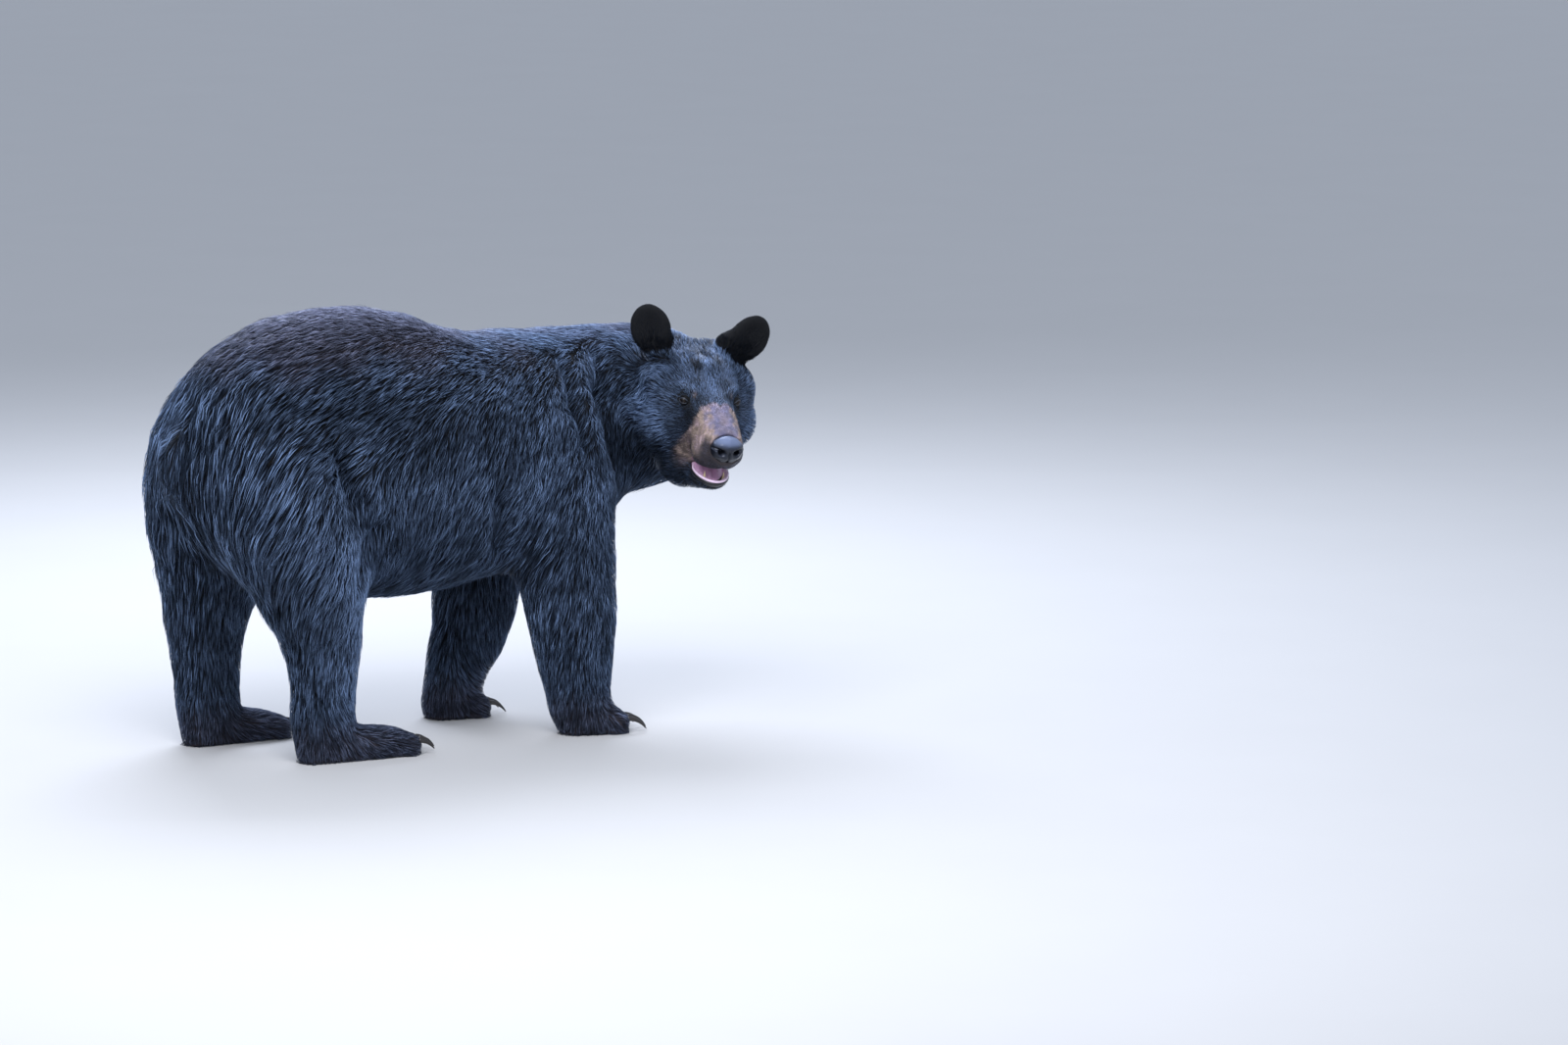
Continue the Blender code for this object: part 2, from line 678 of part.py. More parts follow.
clear_scene()
PARTS = bpy.data.collections.new("black_bear")
bpy.context.scene.collection.children.link(PARTS)
build()
centre_on_floor()
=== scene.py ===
"""A life-size American black bear as a still museum model: skin, coat, face and claws."""

import json
import math

import bmesh
import bpy
import numpy as np
from bpy.props import FloatProperty, FloatVectorProperty, IntProperty, PointerProperty
from mathutils import Matrix, Vector, kdtree


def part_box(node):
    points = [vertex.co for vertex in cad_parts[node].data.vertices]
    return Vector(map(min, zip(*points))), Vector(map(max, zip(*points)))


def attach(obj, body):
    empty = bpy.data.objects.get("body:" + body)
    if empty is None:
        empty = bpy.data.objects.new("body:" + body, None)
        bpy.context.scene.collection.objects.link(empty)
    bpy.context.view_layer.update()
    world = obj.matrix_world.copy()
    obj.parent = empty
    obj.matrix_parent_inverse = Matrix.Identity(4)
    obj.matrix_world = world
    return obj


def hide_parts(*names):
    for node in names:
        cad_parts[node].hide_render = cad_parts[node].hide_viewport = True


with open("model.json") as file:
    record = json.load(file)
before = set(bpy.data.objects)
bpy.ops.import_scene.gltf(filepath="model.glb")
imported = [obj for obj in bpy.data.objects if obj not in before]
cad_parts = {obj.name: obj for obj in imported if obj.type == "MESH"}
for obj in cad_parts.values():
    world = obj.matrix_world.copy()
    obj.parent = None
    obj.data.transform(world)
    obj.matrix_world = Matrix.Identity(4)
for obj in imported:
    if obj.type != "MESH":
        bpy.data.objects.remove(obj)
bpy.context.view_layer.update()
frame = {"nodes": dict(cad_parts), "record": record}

bl_info = {
    "name": "Black bear model",
    "version": (1, 0, 0),
    "blender": (4, 5, 0),
    "location": "3D View > Sidebar > Bear",
    "description": "Skin, coat, eyes, nose, mouth and claws of a standing black bear",
    "category": "Object",
}

# Head: its own frame has +X out of the nose, +Y to its left and its origin between the ears
HEAD_TURN = math.radians(-107)
HEAD_DROP = math.radians(13)
HEAD_LEAN = math.radians(-4.8)
HEAD_SCALE = 1.03
EYE_SPOT = Vector((0.0850, 0.0565, 0.034))
JAW_JOINT = Vector((0.0, 0.0, -0.030))
JAW_OPENING = math.radians(9)
EAR_SPOT = {1: Vector((-0.032, 0.108, 0.134)), -1: Vector((-0.032, -0.113, 0.150))}
EAR_SPREAD = {1: math.radians(27), -1: math.radians(17)}
GAZE = {1: Vector((0.74, 0.66, 0.08)), -1: Vector((0.74, -0.66, 0.08))}
UPRIGHT = Vector((0, 0, 1))

SEAT = 0.0106  # radius of an eye's seat
BARE_EYE = (1.50, 1.10, 0.92)  # reach of the bare skin inwards, outwards and up, in seats
EYE_SINK = 0.0028  # how much deeper an eyeball lies than its solid
LID_OPENING = (0.80, 0.52)  # an eye's opening across and up, in eye radii
LID_LOW = 0.46  # how far it opens down
LID_CORNER = 1.18  # how much longer its inner corner is
LID_THICKNESS = 0.0012
CORNEA = (math.radians(34), 0.07)  # reach of the cornea from the gaze, and its bulge
# Middle and reach of ovals: the nose's seat and the throat in the head's frame, and the hollow
# of the lower jaw in the jaw's
NOSE_SEAT = ((0.237, 0, -0.020), (0.021, 0.034, 0.028))
THROAT = ((0.105, 0, -0.082), (0.022, 0.034, 0.016))
JAW_HOLLOW = ((0.158, 0, -0.070), (0.050, 0.0355, 0.0205))
# A nostril and the slit beside it in the head's frame: ahead, aside and up; reach; depth
HOLES = (
    ((0.2500, 0.0150, -0.0190), (0.018, 0.0074, 0.0062), 0.0090),
    ((0.2400, 0.0265, -0.0130), (0.018, 0.0085, 0.0034), 0.0060),
)
GROOVE = 0.0035  # depth of the groove between the nostrils
LIP_FRONT, LIP_BACK = 0.150, 0.126  # where the lower lip's bend and its ends lie along the jaw
LIP_HALF, LIP_REACH = 0.0350, 0.055  # how wide to a side and how far ahead the bend goes
# The muzzle's light hair ends at this x for a height
MUZZLE_HEIGHT = (-0.105, -0.080, -0.062, -0.033, -0.010, 0.008, 0.034, 0.045, 0.060)
MUZZLE_EDGE = (0.082, 0.084, 0.090, 0.107, 0.130, 0.141, 0.134, 0.137, 0.150)
TONGUE_FOOT = np.array((0, 0, -0.086))  # the tongue's underside in the jaw's frame
TONGUE_GROWTH = (1.0, 1.75, 1.30)  # how much larger the tongue is than its solid
MIDLINE = 0.102  # the trunk's middle plane, across the row frame
LEG_TOP = 0.44  # height up to which coat belongs to a leg's piece
FLOOR_GAP = 0.0005  # the lowest that hair lies
SOLE_GAP = 0.0003  # the lowest that skin lies

SEED = 20
PATCH = 0.003  # size of a tuft's patch on the coat's map
UNDERCOAT = 0.42  # share of tufts that stay short and straight below the others
ONE_STEP = 0.015  # hair shorter than this is drawn in one straight step
ROOT_DEPTH = 0.0012  # how far below the skin a tuft starts
# A base and a share of the hair's length
ROOT_GAP = (0.0011, 0.077)
LOCK_SIZE = (0.003, 0.095)
TUFT_WIDTH = (0.0006, 0.0205)
FLATNESS = 0.45  # a tuft's thickness for its width
TAPER = (0.45, 1.5)  # how much of its width a tuft loses, and how late
KEEL = 0.35  # how far its two lower edges lie below its line, for its thickness
ANCHOR_CORE, ANCHOR_FALL = 2.5e-5, -2.2  # how an anchor's weight falls with the squared distance
LIE_WANDER = 0.055  # how far the lie of long hair strays from the anchors'
DEPTH_WAVES = 0.10  # how much a deep coat's depth varies
LOCK_SWAY = 0.06  # how far a lock's way strays from the lie of the hair, in radians
TUFT_SWAY = 0.07  # the same for a tuft in its lock
STRAYS = (0.03, 0.05)  # share of tufts that stand off, and how many more in long hair

CAMERA_TURN = math.radians(-35)
CAMERA_RISE = math.radians(9)
CAMERA_AIM = Vector((0.61457, -0.30897, 0.45269))
CAMERA_DISTANCE = 15.0
CAMERA_LENS = 162.0
LAMP_SIZE = 2.6


def table(units, *rows):
    """Rows of whole numbers as metres and shares, each column divided by its own unit."""
    return np.array(rows) / units


# Coat: where (mm), lie of the hair (hundredths), depth and hair length (tenths of a mm) and
# lock pull (hundredths)
COAT = (1000,) * 3 + (100,) * 3 + (10000, 10000, 100)
# Forms of the skin: from, to and radius (mm), rise (tenths of a mm)
FORM = (1000,) * 7 + (10000,)
# Painted sheen and painted shade of the coat: from, to and radius (mm), gain (hundredths)
PAINTED_LIGHT = (1000,) * 7 + (100,)

# Body, both sides alike: along, away from the midline, up
BODY_COAT = table(
    COAT,
    (-420, 0, 890, -88, 0, -45, 190, 460, 51),
    (-610, 70, 700, -30, 20, -95, 230, 760, 84),
    (-620, 70, 520, -10, 10, -100, 230, 800, 84),
    (-530, 190, 620, -55, 10, -84, 220, 740, 84),
    (-400, 250, 700, -88, 0, -46, 200, 500, 40),
    (-280, 240, 780, -90, 0, -42, 180, 460, 22),
    (-450, 240, 480, -50, 0, -86, 200, 480, 28),
    (-300, 240, 500, -12, 0, -100, 180, 440, 29),
    (-220, 200, 360, -20, 0, -100, 150, 400, 35),
    (-560, 140, 380, -10, 0, -100, 180, 540, 60),
    (-400, 50, 360, 0, 0, -100, 120, 300, 29),
    (-150, 0, 930, -100, 0, 0, 160, 400, 7),
    (80, 0, 880, -100, 0, 0, 160, 400, 7),
    (300, 0, 860, -100, 0, -5, 170, 400, 7),
    (-100, 200, 820, -90, 10, -40, 170, 420, 7),
    (150, 200, 800, -76, 10, -62, 170, 400, 7),
    (-80, 260, 620, -52, 0, -86, 180, 460, 14),
    (120, 260, 600, -50, 0, -87, 180, 440, 14),
    (-100, 170, 380, -35, -20, -92, 190, 500, 43),
    (50, 170, 380, -40, -20, -90, 190, 500, 43),
    (-50, 0, 320, -100, 0, -10, 180, 460, 51),
    (-240, 0, 330, -95, 0, -30, 140, 360, 43),
    (260, 250, 680, -45, 0, -90, 170, 400, 12),
    (220, 240, 500, -40, 0, -92, 180, 420, 20),
    (100, 200, 420, -45, 0, -90, 180, 460, 58),
    (330, 200, 440, -8, 0, -100, 140, 340, 29),
    (200, 70, 380, 0, 0, -100, 120, 300, 29),
    (400, 50, 480, -30, 0, -95, 180, 440, 43),
    (-670, 0, 620, -15, 0, -100, 120, 520, 58),
)
# Right of the neck, where the two sides differ: along, across, up in the row frame
NECK_COAT = table(
    COAT,
    (380, -100, 720, -50, 20, -84, 160, 360, 10),
    (450, 60, 850, -85, 50, 0, 160, 360, 10),
    (580, 80, 700, -45, 80, -40, 180, 400, 20),
    (500, 20, 500, -60, 40, -70, 180, 420, 28),
    (440, 200, 620, -75, 20, -65, 180, 420, 25),
    (330, -20, 790, -50, 10, -85, 150, 340, 8),
    (290, -70, 720, -45, 5, -90, 140, 340, 8),
    (310, -90, 640, -35, 5, -94, 150, 350, 10),
    (350, -70, 560, -35, 10, -94, 160, 380, 18),
    (380, -50, 620, -30, 20, -93, 140, 340, 10),
    (420, -110, 770, -45, 35, -82, 120, 300, 8),
    (440, -50, 570, -40, 40, -82, 160, 360, 20),
    (220, -80, 700, -50, 5, -87, 160, 370, 10),
)
# Legs: where on the right, the same on the left, then as above
FORELEG_COAT = table(
    COAT[:3] + COAT,
    (240, -130, 220, 180, 330, 220, -18, 0, -100, 130, 380, 43),
    (310, -60, 220, 250, 250, 220, 2, 0, -100, 110, 320, 36),
    (160, -60, 240, 90, 250, 240, -22, 0, -100, 140, 420, 58),
    (240, 10, 220, 160, 180, 220, 0, 0, -100, 100, 300, 29),
    (260, -130, 100, 130, 320, 100, 5, 0, -100, 110, 280, 36),
    (330, -60, 75, 180, 250, 75, 90, 0, -50, 85, 270, 45),
    (370, -60, 30, 230, 250, 30, 90, 0, -50, 55, 170, 25),
    (190, -60, 60, 70, 250, 60, -20, 0, -100, 100, 260, 36),
)
HINDLEG_COAT = table(
    COAT[:3] + COAT,
    (-370, -120, 180, -460, 350, 180, -12, 0, -100, 130, 380, 43),
    (-290, -40, 180, -380, 270, 180, 5, 0, -100, 100, 320, 36),
    (-450, -40, 180, -550, 270, 180, -15, 0, -100, 140, 420, 58),
    (-370, 40, 180, -460, 200, 180, 0, 0, -100, 100, 300, 29),
    (-340, -100, 80, -440, 340, 80, 45, 0, -90, 110, 280, 36),
    (-240, -30, 65, -340, 280, 65, 100, 0, -25, 85, 270, 45),
    (-150, -30, 30, -260, 280, 30, 95, 0, -35, 55, 170, 25),
    (-430, -40, 50, -530, 280, 50, -10, 0, -100, 100, 260, 36),
)
# Head, in its frame, both sides alike
HEAD_COAT = table(
    COAT,
    (190, 0, 30, -100, 0, 20, 12, 45, 0),
    (205, 40, -20, -100, 10, -15, 12, 45, 0),
    (160, 50, -20, -100, 10, -25, 18, 65, 0),
    (190, 40, -60, -90, 10, -40, 15, 60, 0),
    (130, 50, -55, -95, 20, -30, 30, 100, 10),
    (170, 20, -140, -100, 0, -10, 35, 110, 20),
    (120, 40, -130, -100, 20, -10, 60, 160, 30),
    (135, 0, 48, -100, 0, 35, 20, 65, 0),
    (100, 20, 75, -100, 10, 40, 35, 100, 10),
    (82, 50, 56, -75, 35, 75, 30, 80, 10),
    (104, 50, 38, -60, -50, 60, 22, 60, 0),
    (110, 50, 10, -95, 30, -10, 25, 80, 0),
    (80, 70, 5, -90, 35, -30, 45, 120, 10),
    (60, 70, 45, -95, 40, 5, 50, 120, 10),
    (30, 90, 55, -100, 30, 0, 75, 170, 20),
    (50, 100, -30, -90, 30, -40, 100, 210, 12),
    (0, 120, -20, -90, 10, -42, 120, 260, 12),
    (20, 100, -90, -88, 10, -50, 140, 290, 22),
    (-60, 120, -60, -75, 0, -66, 150, 330, 15),
    (40, 0, 105, -100, 0, 15, 45, 140, 20),
    (-20, 0, 115, -100, 0, 0, 60, 190, 30),
    (-20, 50, 105, -100, 10, 0, 55, 180, 30),
    (-100, 40, 100, -100, 10, -10, 140, 320, 15),
    (20, 0, -150, -100, 0, 0, 140, 300, 28),
    (90, 0, -140, -100, 0, 5, 100, 220, 30),
)
# Each ear's own frame, up its length: cup, back, rim and root
EAR_COAT = table(
    COAT,
    (14, 0, 10, 10, 0, 100, 12, 100, 10),
    (14, 26, 5, 10, 30, 100, 12, 100, 10),
    (14, -26, 5, 10, -30, 100, 12, 100, 10),
    (-18, 0, 20, -10, 0, 100, 15, 120, 10),
    (-18, 24, 0, -10, 20, 100, 15, 120, 10),
    (-18, -24, 0, -10, -20, 100, 15, 120, 10),
    (0, 0, 56, 0, 0, 100, 8, 110, 0),
    (0, 36, 34, 0, 60, 100, 8, 110, 0),
    (0, -36, 34, 0, -60, 100, 8, 110, 0),
    (0, 44, 2, 0, 50, 100, 8, 120, 0),
    (0, -44, 2, 0, -50, 100, 8, 120, 0),
    (14, 0, -40, -10, 0, 100, 30, 160, 20),
    (-16, 0, -36, -50, 0, 90, 40, 180, 20),
    (0, -44, -34, -20, -20, 100, 25, 150, 10),
    (0, 40, -34, -20, 20, 100, 25, 150, 10),
)

# Soft ridges (+) and creases (-) of the skin. Body, both sides alike
BODY_FORMS = table(
    FORM,
    (-386, 258, 655, -360, 258, 560, 24, -280),
    (-348, 258, 645, -298, 252, 515, 24, 100),
    (-300, 248, 500, -328, 232, 380, 18, -220),
    (-330, 255, 560, -330, 245, 470, 20, -60),
    (-540, 235, 640, -480, 240, 540, 60, 60),
    (0, 256, 530, 28, 205, 390, 24, -260),
    (120, 255, 640, 80, 255, 540, 40, 60),
    (150, 230, 780, 120, 250, 680, 30, 50),
    (-120, 240, 760, -180, 250, 640, 45, -50),
    (-330, 245, 755, -280, 246, 735, 40, -70),
    (-430, 150, 860, -330, 150, 870, 40, 50),
    (-300, 100, 890, -180, 100, 880, 30, -40),
)
# Right of the neck, where its turn gathers the skin, in the row frame
NECK_FORMS = table(
    FORM,
    (235, -30, 815, 214, -112, 711, 15, -190),
    (214, -112, 711, 232, -132, 625, 15, -200),
    (333, 5, 820, 313, -60, 728, 18, -180),
    (313, -60, 728, 314, -96, 638, 19, -220),
    (314, -96, 638, 350, -72, 565, 18, -200),
    (270, -20, 810, 262, -90, 700, 18, 80),
    (262, -90, 700, 270, -120, 620, 18, 70),
    (540, 20, 810, 520, -50, 815, 30, 140),
    (470, -80, 840, 500, -50, 830, 22, 100),
)
# Head, in its frame, both sides alike
HEAD_FORMS = table(
    FORM,
    (66, 58, 60, 96, 40, 57, 11, 60),
    (85, 60, 34, 88, 57, 34, 19, -15),
    (100, 46, 38, 120, 41, 24, 7, -30),
    (100, 62, 12, 78, 78, -10, 10, -30),
    (70, 76, 14, 40, 96, 20, 16, 30),
    (0, 0, 112, 85, 0, 78, 11, -40),
    (20, 26, 108, 75, 26, 83, 14, 30),
    (130, 23, 43, 195, 19, 24, 8, 18),
    (130, 0, 47, 200, 0, 24, 9, -12),
    (150, 46, 0, 195, 40, -10, 12, -20),
    (214, 0, 16, 222, 20, 6, 12, 30),
    (165, 44, -42, 205, 34, -44, 15, 40),
    (172, 38, -60, 212, 8, -62, 12, 62),
    (105, 60, -60, 130, 54, -50, 8, -25),
    (98, 60, -75, 122, 50, -86, 6, 35),
    (145, 20, -118, 163, 0, -112, 19, 95),
)
# Worn spots on the forehead, in the head's frame: middle and radius (mm)
WORN_SPOTS = table(
    1000,
    (-9, -1, 112, 9),
    (41, -18, 95, 11),
    (33, 29, 100, 6),
    (-22, -14, 115, 6),
)
SPOT_DEPTH = 0.0035
SPOT_SHINE = 1.0

# Painted sheen (+) and painted shade (-) on stretches of the coat, where light and shade fall.
# Body, both sides alike
BODY_PAINTED_LIGHT = table(
    PAINTED_LIGHT,
    (-350, 0, 900, 350, 50, 870, 110, 39),
    (-250, 200, 840, 200, 200, 800, 60, 10),
    (-350, 230, 420, -310, 160, 120, 75, 36),
    (240, 240, 520, 250, 200, 200, 70, 8),
    (-640, 30, 550, -600, 80, 350, 90, -24),
    (-520, 220, 780, -350, 240, 760, 90, -8),
    (-200, 250, 700, -50, 250, 660, 90, -9),
    (-200, 260, 520, 20, 260, 500, 80, 6),
    (-480, 250, 560, -430, 250, 450, 80, 10),
    (-390, 260, 670, -352, 260, 550, 28, -32),
    (-338, 260, 640, -310, 252, 540, 24, 10),
    (-150, 120, 330, 100, 120, 330, 60, -10),
)
# Right of the neck, in the row frame
NECK_PAINTED_LIGHT = table(
    PAINTED_LIGHT,
    (300, -45, 800, 300, -85, 700, 24, -32),
    (300, -85, 700, 380, -55, 580, 34, -34),
    (222, -70, 780, 225, -120, 640, 14, -24),
)
# Head, in its frame, both sides alike
HEAD_PAINTED_LIGHT = table(
    PAINTED_LIGHT,
    (30, 0, 102, 130, 0, 53, 18, 80),
    (62, 66, 66, 98, 36, 62, 10, 50),
    (-20, 40, 110, 45, 45, 85, 22, 40),
    (20, 85, 60, 45, 75, 40, 20, 25),
    (88, 60, 40, 100, 52, 22, 17, -28),
    (112, 56, 10, 85, 74, -40, 20, -18),
    (60, 90, -20, 0, 115, 0, 46, 50),
    (60, 70, -110, 150, 30, -130, 30, -22),
    (98, 34, 60, 114, 32, 44, 9, -30),
    (-80, 110, -120, 40, 90, -130, 60, -20),
    (-80, 120, 60, -60, 130, -40, 35, -22),
)
# painted shade in the skin's creases and painted highlight on its ridges
FOLD_PAINTED_LIGHT = 20  # how much a metre of crease or ridge darkens or lightens the coat

# Pieces of coat: a point near the middle of each, the axis it is wrapped round, and its slope
FORWARDS, UPWARDS, FACEWARDS = (1, 0, 0), (0, 0, 1), (-0.29, -0.93, -0.22)
COAT_PIECES = {
    "coat_face": ((0.47, -0.27, 0.66), FACEWARDS, 0.6),
    "coat_cheeks": ((0.51, -0.15, 0.70), FACEWARDS, 0.6),
    "coat_ears": ((0.51, -0.12, 0.86), UPWARDS, 0.2),
    "coat_neck": ((0.48, 0.04, 0.66), (0.50, -0.85, 0.05), 0.3),
    "coat_chest": ((0.28, 0.10, 0.66), FORWARDS, 0.3),
    "coat_flanks": ((0.02, 0.10, 0.64), FORWARDS, 0.0),
    "coat_loin": ((-0.22, 0.10, 0.68), FORWARDS, 0.0),
    "coat_rump": ((-0.50, 0.10, 0.66), FORWARDS, 0.8),
    "coat_foreleg_right": ((0.24, -0.06, 0.22), UPWARDS, 0.8),
    "coat_foreleg_left": ((0.18, 0.25, 0.22), UPWARDS, 0.8),
    "coat_hindleg_right": ((-0.37, -0.04, 0.22), UPWARDS, 0.8),
    "coat_hindleg_left": ((-0.46, 0.27, 0.22), UPWARDS, 0.8),
}


def linear(code):
    """A #rrggbb sRGB colour as linear values."""
    found = []
    for k in (1, 3, 5):
        value = int(code[k : k + 2], 16) / 255
        found.append(value / 12.92 if value <= 0.04045 else ((value + 0.055) / 1.055) ** 2.4)
    return tuple(found)


def colour(title, about, code):
    """A colour property whose default is a #rrggbb value."""
    return FloatVectorProperty(
        name=title, description=about, subtype="COLOR", size=3, min=0, max=1, default=linear(code)
    )


def length(title, about, metres):
    """A length property in metres."""
    return FloatProperty(
        name=title, description=about, default=metres, min=0, unit="LENGTH", precision=4
    )


class BearSkin(bpy.types.PropertyGroup):
    grid: length("Grid", "Size of the skin's squares before it is thinned", 0.0036)
    weld: length("Weld", "How far each solid is swelled so that the cuts close", 0.0006)
    faces: IntProperty(name="Faces", description="Triangles after thinning", default=170000)
    hide: colour("Hide", "Dark skin under the black coat", "#0b0c0f")
    tan: colour("Muzzle tan", "Short hair on the muzzle", "#ab9688")
    flush: colour("Muzzle flush", "Pinker patches among the tan", "#b79fa0")
    bridge: colour("Muzzle bridge", "Grey-mauve bare-looking hair above the nose", "#75718a")
    gum: colour("Mouth lining", "Dark mauve gums and palate", "#8a6478")


class BearCoat(bpy.types.PropertyGroup):
    crowding: FloatProperty(
        name="Crowding", description="How many tufts grow, 1 being full", default=1.0, min=0.05
    )
    black: colour("Root black", "Guard hair near the skin", "#0a0c11")
    # bluish grey painted sky sheen on the black hair's tips
    tip: colour("Tip with painted sheen", "Guard hair towards its tip", "#54657f")
    brown: colour("Rusty brown", "Worn hair tips on the feet and along the back", "#48424a")
    velvet: colour("Ear black", "Short dull hair on the ears", "#0b0c0f")


class BearFace(bpy.types.PropertyGroup):
    eye: length("Eye radius", "Radius of an eyeball", 0.0106)
    iris: colour("Iris", "Brown iris", "#1c110a")
    nose: colour("Nose leather", "Dark bare skin of the nose pad", "#1e2129")
    lip: colour("Lip", "Wet lilac-pink inside of the lower lip", "#f4d8ec")
    rim: colour("Lip rim", "Black edge of the lips", "#121216")
    lid: colour("Eyelid", "Dark grey edge of the eyelids", "#2f3541")
    tongue: colour("Tongue", "Mauve tongue", "#d8a8c8")
    tooth: colour("Tooth", "Yellowed enamel", "#cdbb8e")
    claw: colour("Claw", "Dark horn", "#2b2725")


class BearStage(bpy.types.PropertyGroup):
    floor: colour("Floor", "Pale matt floor", "#c4c3c0")
    sky: colour("Sky fill", "Colour of the soft light from all round", "#d5e0f5")
    fill: FloatProperty(name="Fill", description="Strength of the sky fill", default=0.85)
    key: FloatProperty(
        name="Key light", description="Power of the large lamp overhead", default=170, unit="POWER"
    )


def head_place():
    """The matrix from the head's frame to the row frame."""
    turn = Matrix.Rotation(HEAD_TURN, 4, "Z") @ Matrix.Rotation(HEAD_DROP, 4, "Y")
    turn = turn @ Matrix.Rotation(HEAD_LEAN, 4, "X") @ Matrix.Scale(HEAD_SCALE, 4)
    corners = [*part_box("eye_left"), *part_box("eye_right")]
    between = sum(corners, Vector()) / 4
    spot = Vector((EYE_SPOT.x, 0, EYE_SPOT.z))
    return Matrix.Translation(between - turn @ spot) @ turn


def jaw_place():
    """The matrix from the shut jaw's frame to the open jaw, in the row frame."""
    there = Matrix.Translation(JAW_JOINT)
    return head_place() @ there @ Matrix.Rotation(JAW_OPENING, 4, "Y") @ there.inverted()


def moved(points, matrix):
    """Rows of points through a 4x4 matrix."""
    m = np.array(matrix)
    return points @ m[:3, :3].T + m[:3, 3]


def into_head(points):
    """Points of the row frame in the head's frame."""
    return moved(points, head_place().inverted())


def head_axis(k):
    """One axis of the head's frame, one long, in the row frame."""
    return np.array(head_place().to_3x3().normalized().col[k])


def ear_lean(side):
    """How an ear leans out, as a matrix."""
    return Matrix.Rotation(-side * EAR_SPREAD[side], 3, "X")


def eye_seat(side):
    """The middle of an eye's solid in the head's frame."""
    return Vector((EYE_SPOT.x, side * EYE_SPOT.y, EYE_SPOT.z))


def eye_axes(side):
    """An eyeball's middle in the head's frame, its gaze, and the ways across and up its front."""
    gaze = GAZE[side].normalized()
    spot = np.array(eye_seat(side) - gaze * EYE_SINK)
    gaze = np.array(gaze)
    across = unit(np.cross(UPRIGHT, gaze))
    return spot, gaze, across, np.cross(gaze, across)


def unit(rows):
    """Rows made one long."""
    return rows / np.maximum(np.linalg.norm(rows, axis=-1, keepdims=True), 1e-12)


def dots(a, b):
    """The dot product of each pair of rows, as a column."""
    return np.einsum("ij,ij->i", a, b)[:, None]


def oval(points, middle, size):
    """Each point's place in an oval: 0 in its middle, 1 at its edge."""
    return np.linalg.norm((points - middle) / size, axis=1)


def step(values, low, high):
    """A smooth step from 0 at low to 1 at high."""
    share = np.clip((values - low) / (high - low), 0, 1)
    return share * share * (3 - 2 * share)


def ripple(points, size, seed):
    """A smooth random value, mostly within -1.5 to 1.5, that changes over about this size."""
    random = np.random.default_rng(seed)
    total = np.zeros(len(points))
    for _ in range(12):
        way = unit(random.normal(size=(1, 3)))[0] * 2 * math.pi / (size * random.uniform(1.0, 2.2))
        total += np.sin(points @ way + random.uniform(0, 2 * math.pi))
    return total / math.sqrt(12)


def from_segment(points, start, end):
    """How far each point is from a straight line between two points."""
    run = end - start
    share = np.clip((points - start) @ run / max(run @ run, 1e-12), 0, 1)
    return np.linalg.norm(points - start - share[:, None] * run, axis=1)


def forms(points, body, right, head, spot_depth):
    """The sum at each point of soft ridges and creases from the three tables, less the spots."""
    folded = points.copy()
    folded[:, 1] = np.abs(points[:, 1] - MIDLINE)
    in_head = into_head(points)
    halved = in_head.copy()
    halved[:, 1] = np.abs(in_head[:, 1])
    spots = [(*spot[:3], *spot, -spot_depth) for spot in WORN_SPOTS]
    height = np.zeros(len(points))
    for places, rows in ((folded, body), (points, right), (in_head, spots), (halved, head)):
        for row in rows:
            start, end, (radius, rise) = np.split(np.array(row), (3, 6))
            height += rise * np.exp(-((from_segment(places, start, end) / radius) ** 2))
    return height


def relief(points):
    """How far the forms of body, neck and head raise or sink the skin at each point."""
    return forms(points, BODY_FORMS, NECK_FORMS, HEAD_FORMS, SPOT_DEPTH)


def painted_light_and_spots(points):
    """How much painted sheen or painted shade each point of the coat carries: painted highlight on
    ridges and lit stretches, painted shade in creases and shaded stretches, and the darker worn
    spots.
    """
    # painted shade in creases and painted highlight on ridges
    painted_fold_light = np.clip(forms(points, BODY_FORMS, NECK_FORMS, (), 0.0) * FOLD_PAINTED_LIGHT, -0.60, 0.25)
    return painted_fold_light + forms(points, BODY_PAINTED_LIGHT, NECK_PAINTED_LIGHT, HEAD_PAINTED_LIGHT, SPOT_SHINE)


def vectors(items, field):
    """A field of three numbers for each item of a mesh."""
    found = np.empty(len(items) * 3, np.float32)
    items.foreach_get(field, found)
    return found.reshape(-1, 3).astype(float)


def positions(mesh):
    return vectors(mesh.vertices, "co")


def normals(mesh):
    return vectors(mesh.vertex_normals, "vector")


def place_points(mesh, points):
    mesh.vertices.foreach_set("co", points.astype(np.float32).ravel())
    mesh.update()


def write_numbers(mesh, name, values):
    """Writes a number or a vector for each point of a mesh."""
    kind, field = ("FLOAT_VECTOR", "vector") if values.ndim == 2 else ("FLOAT", "value")
    made = mesh.attributes.new(name, kind, "POINT")
    made.data.foreach_set(field, np.ascontiguousarray(values, np.float32).ravel())


def read_numbers(mesh, name):
    """Reads what write_numbers wrote."""
    data = mesh.attributes[name].data
    if mesh.attributes[name].data_type == "FLOAT_VECTOR":
        return vectors(data, "vector")
    found = np.empty(len(data), np.float32)
    data.foreach_get("value", found)
    return found.astype(float)


def nearest(tree, points):
    """For each point, the number of the closest row in the tree."""
    find = tree.find
    return np.fromiter((find(p)[1] for p in points.tolist()), int, len(points))


def tree_of(points):
    """A search tree of rows of points."""
    tree = kdtree.KDTree(len(points))
    for k, point in enumerate(points.tolist()):
        tree.insert(point, k)
    tree.balance()
    return tree


def new_object(name, data):
    obj = bpy.data.objects.new(name, data)
    bpy.context.scene.collection.objects.link(obj)
    return obj


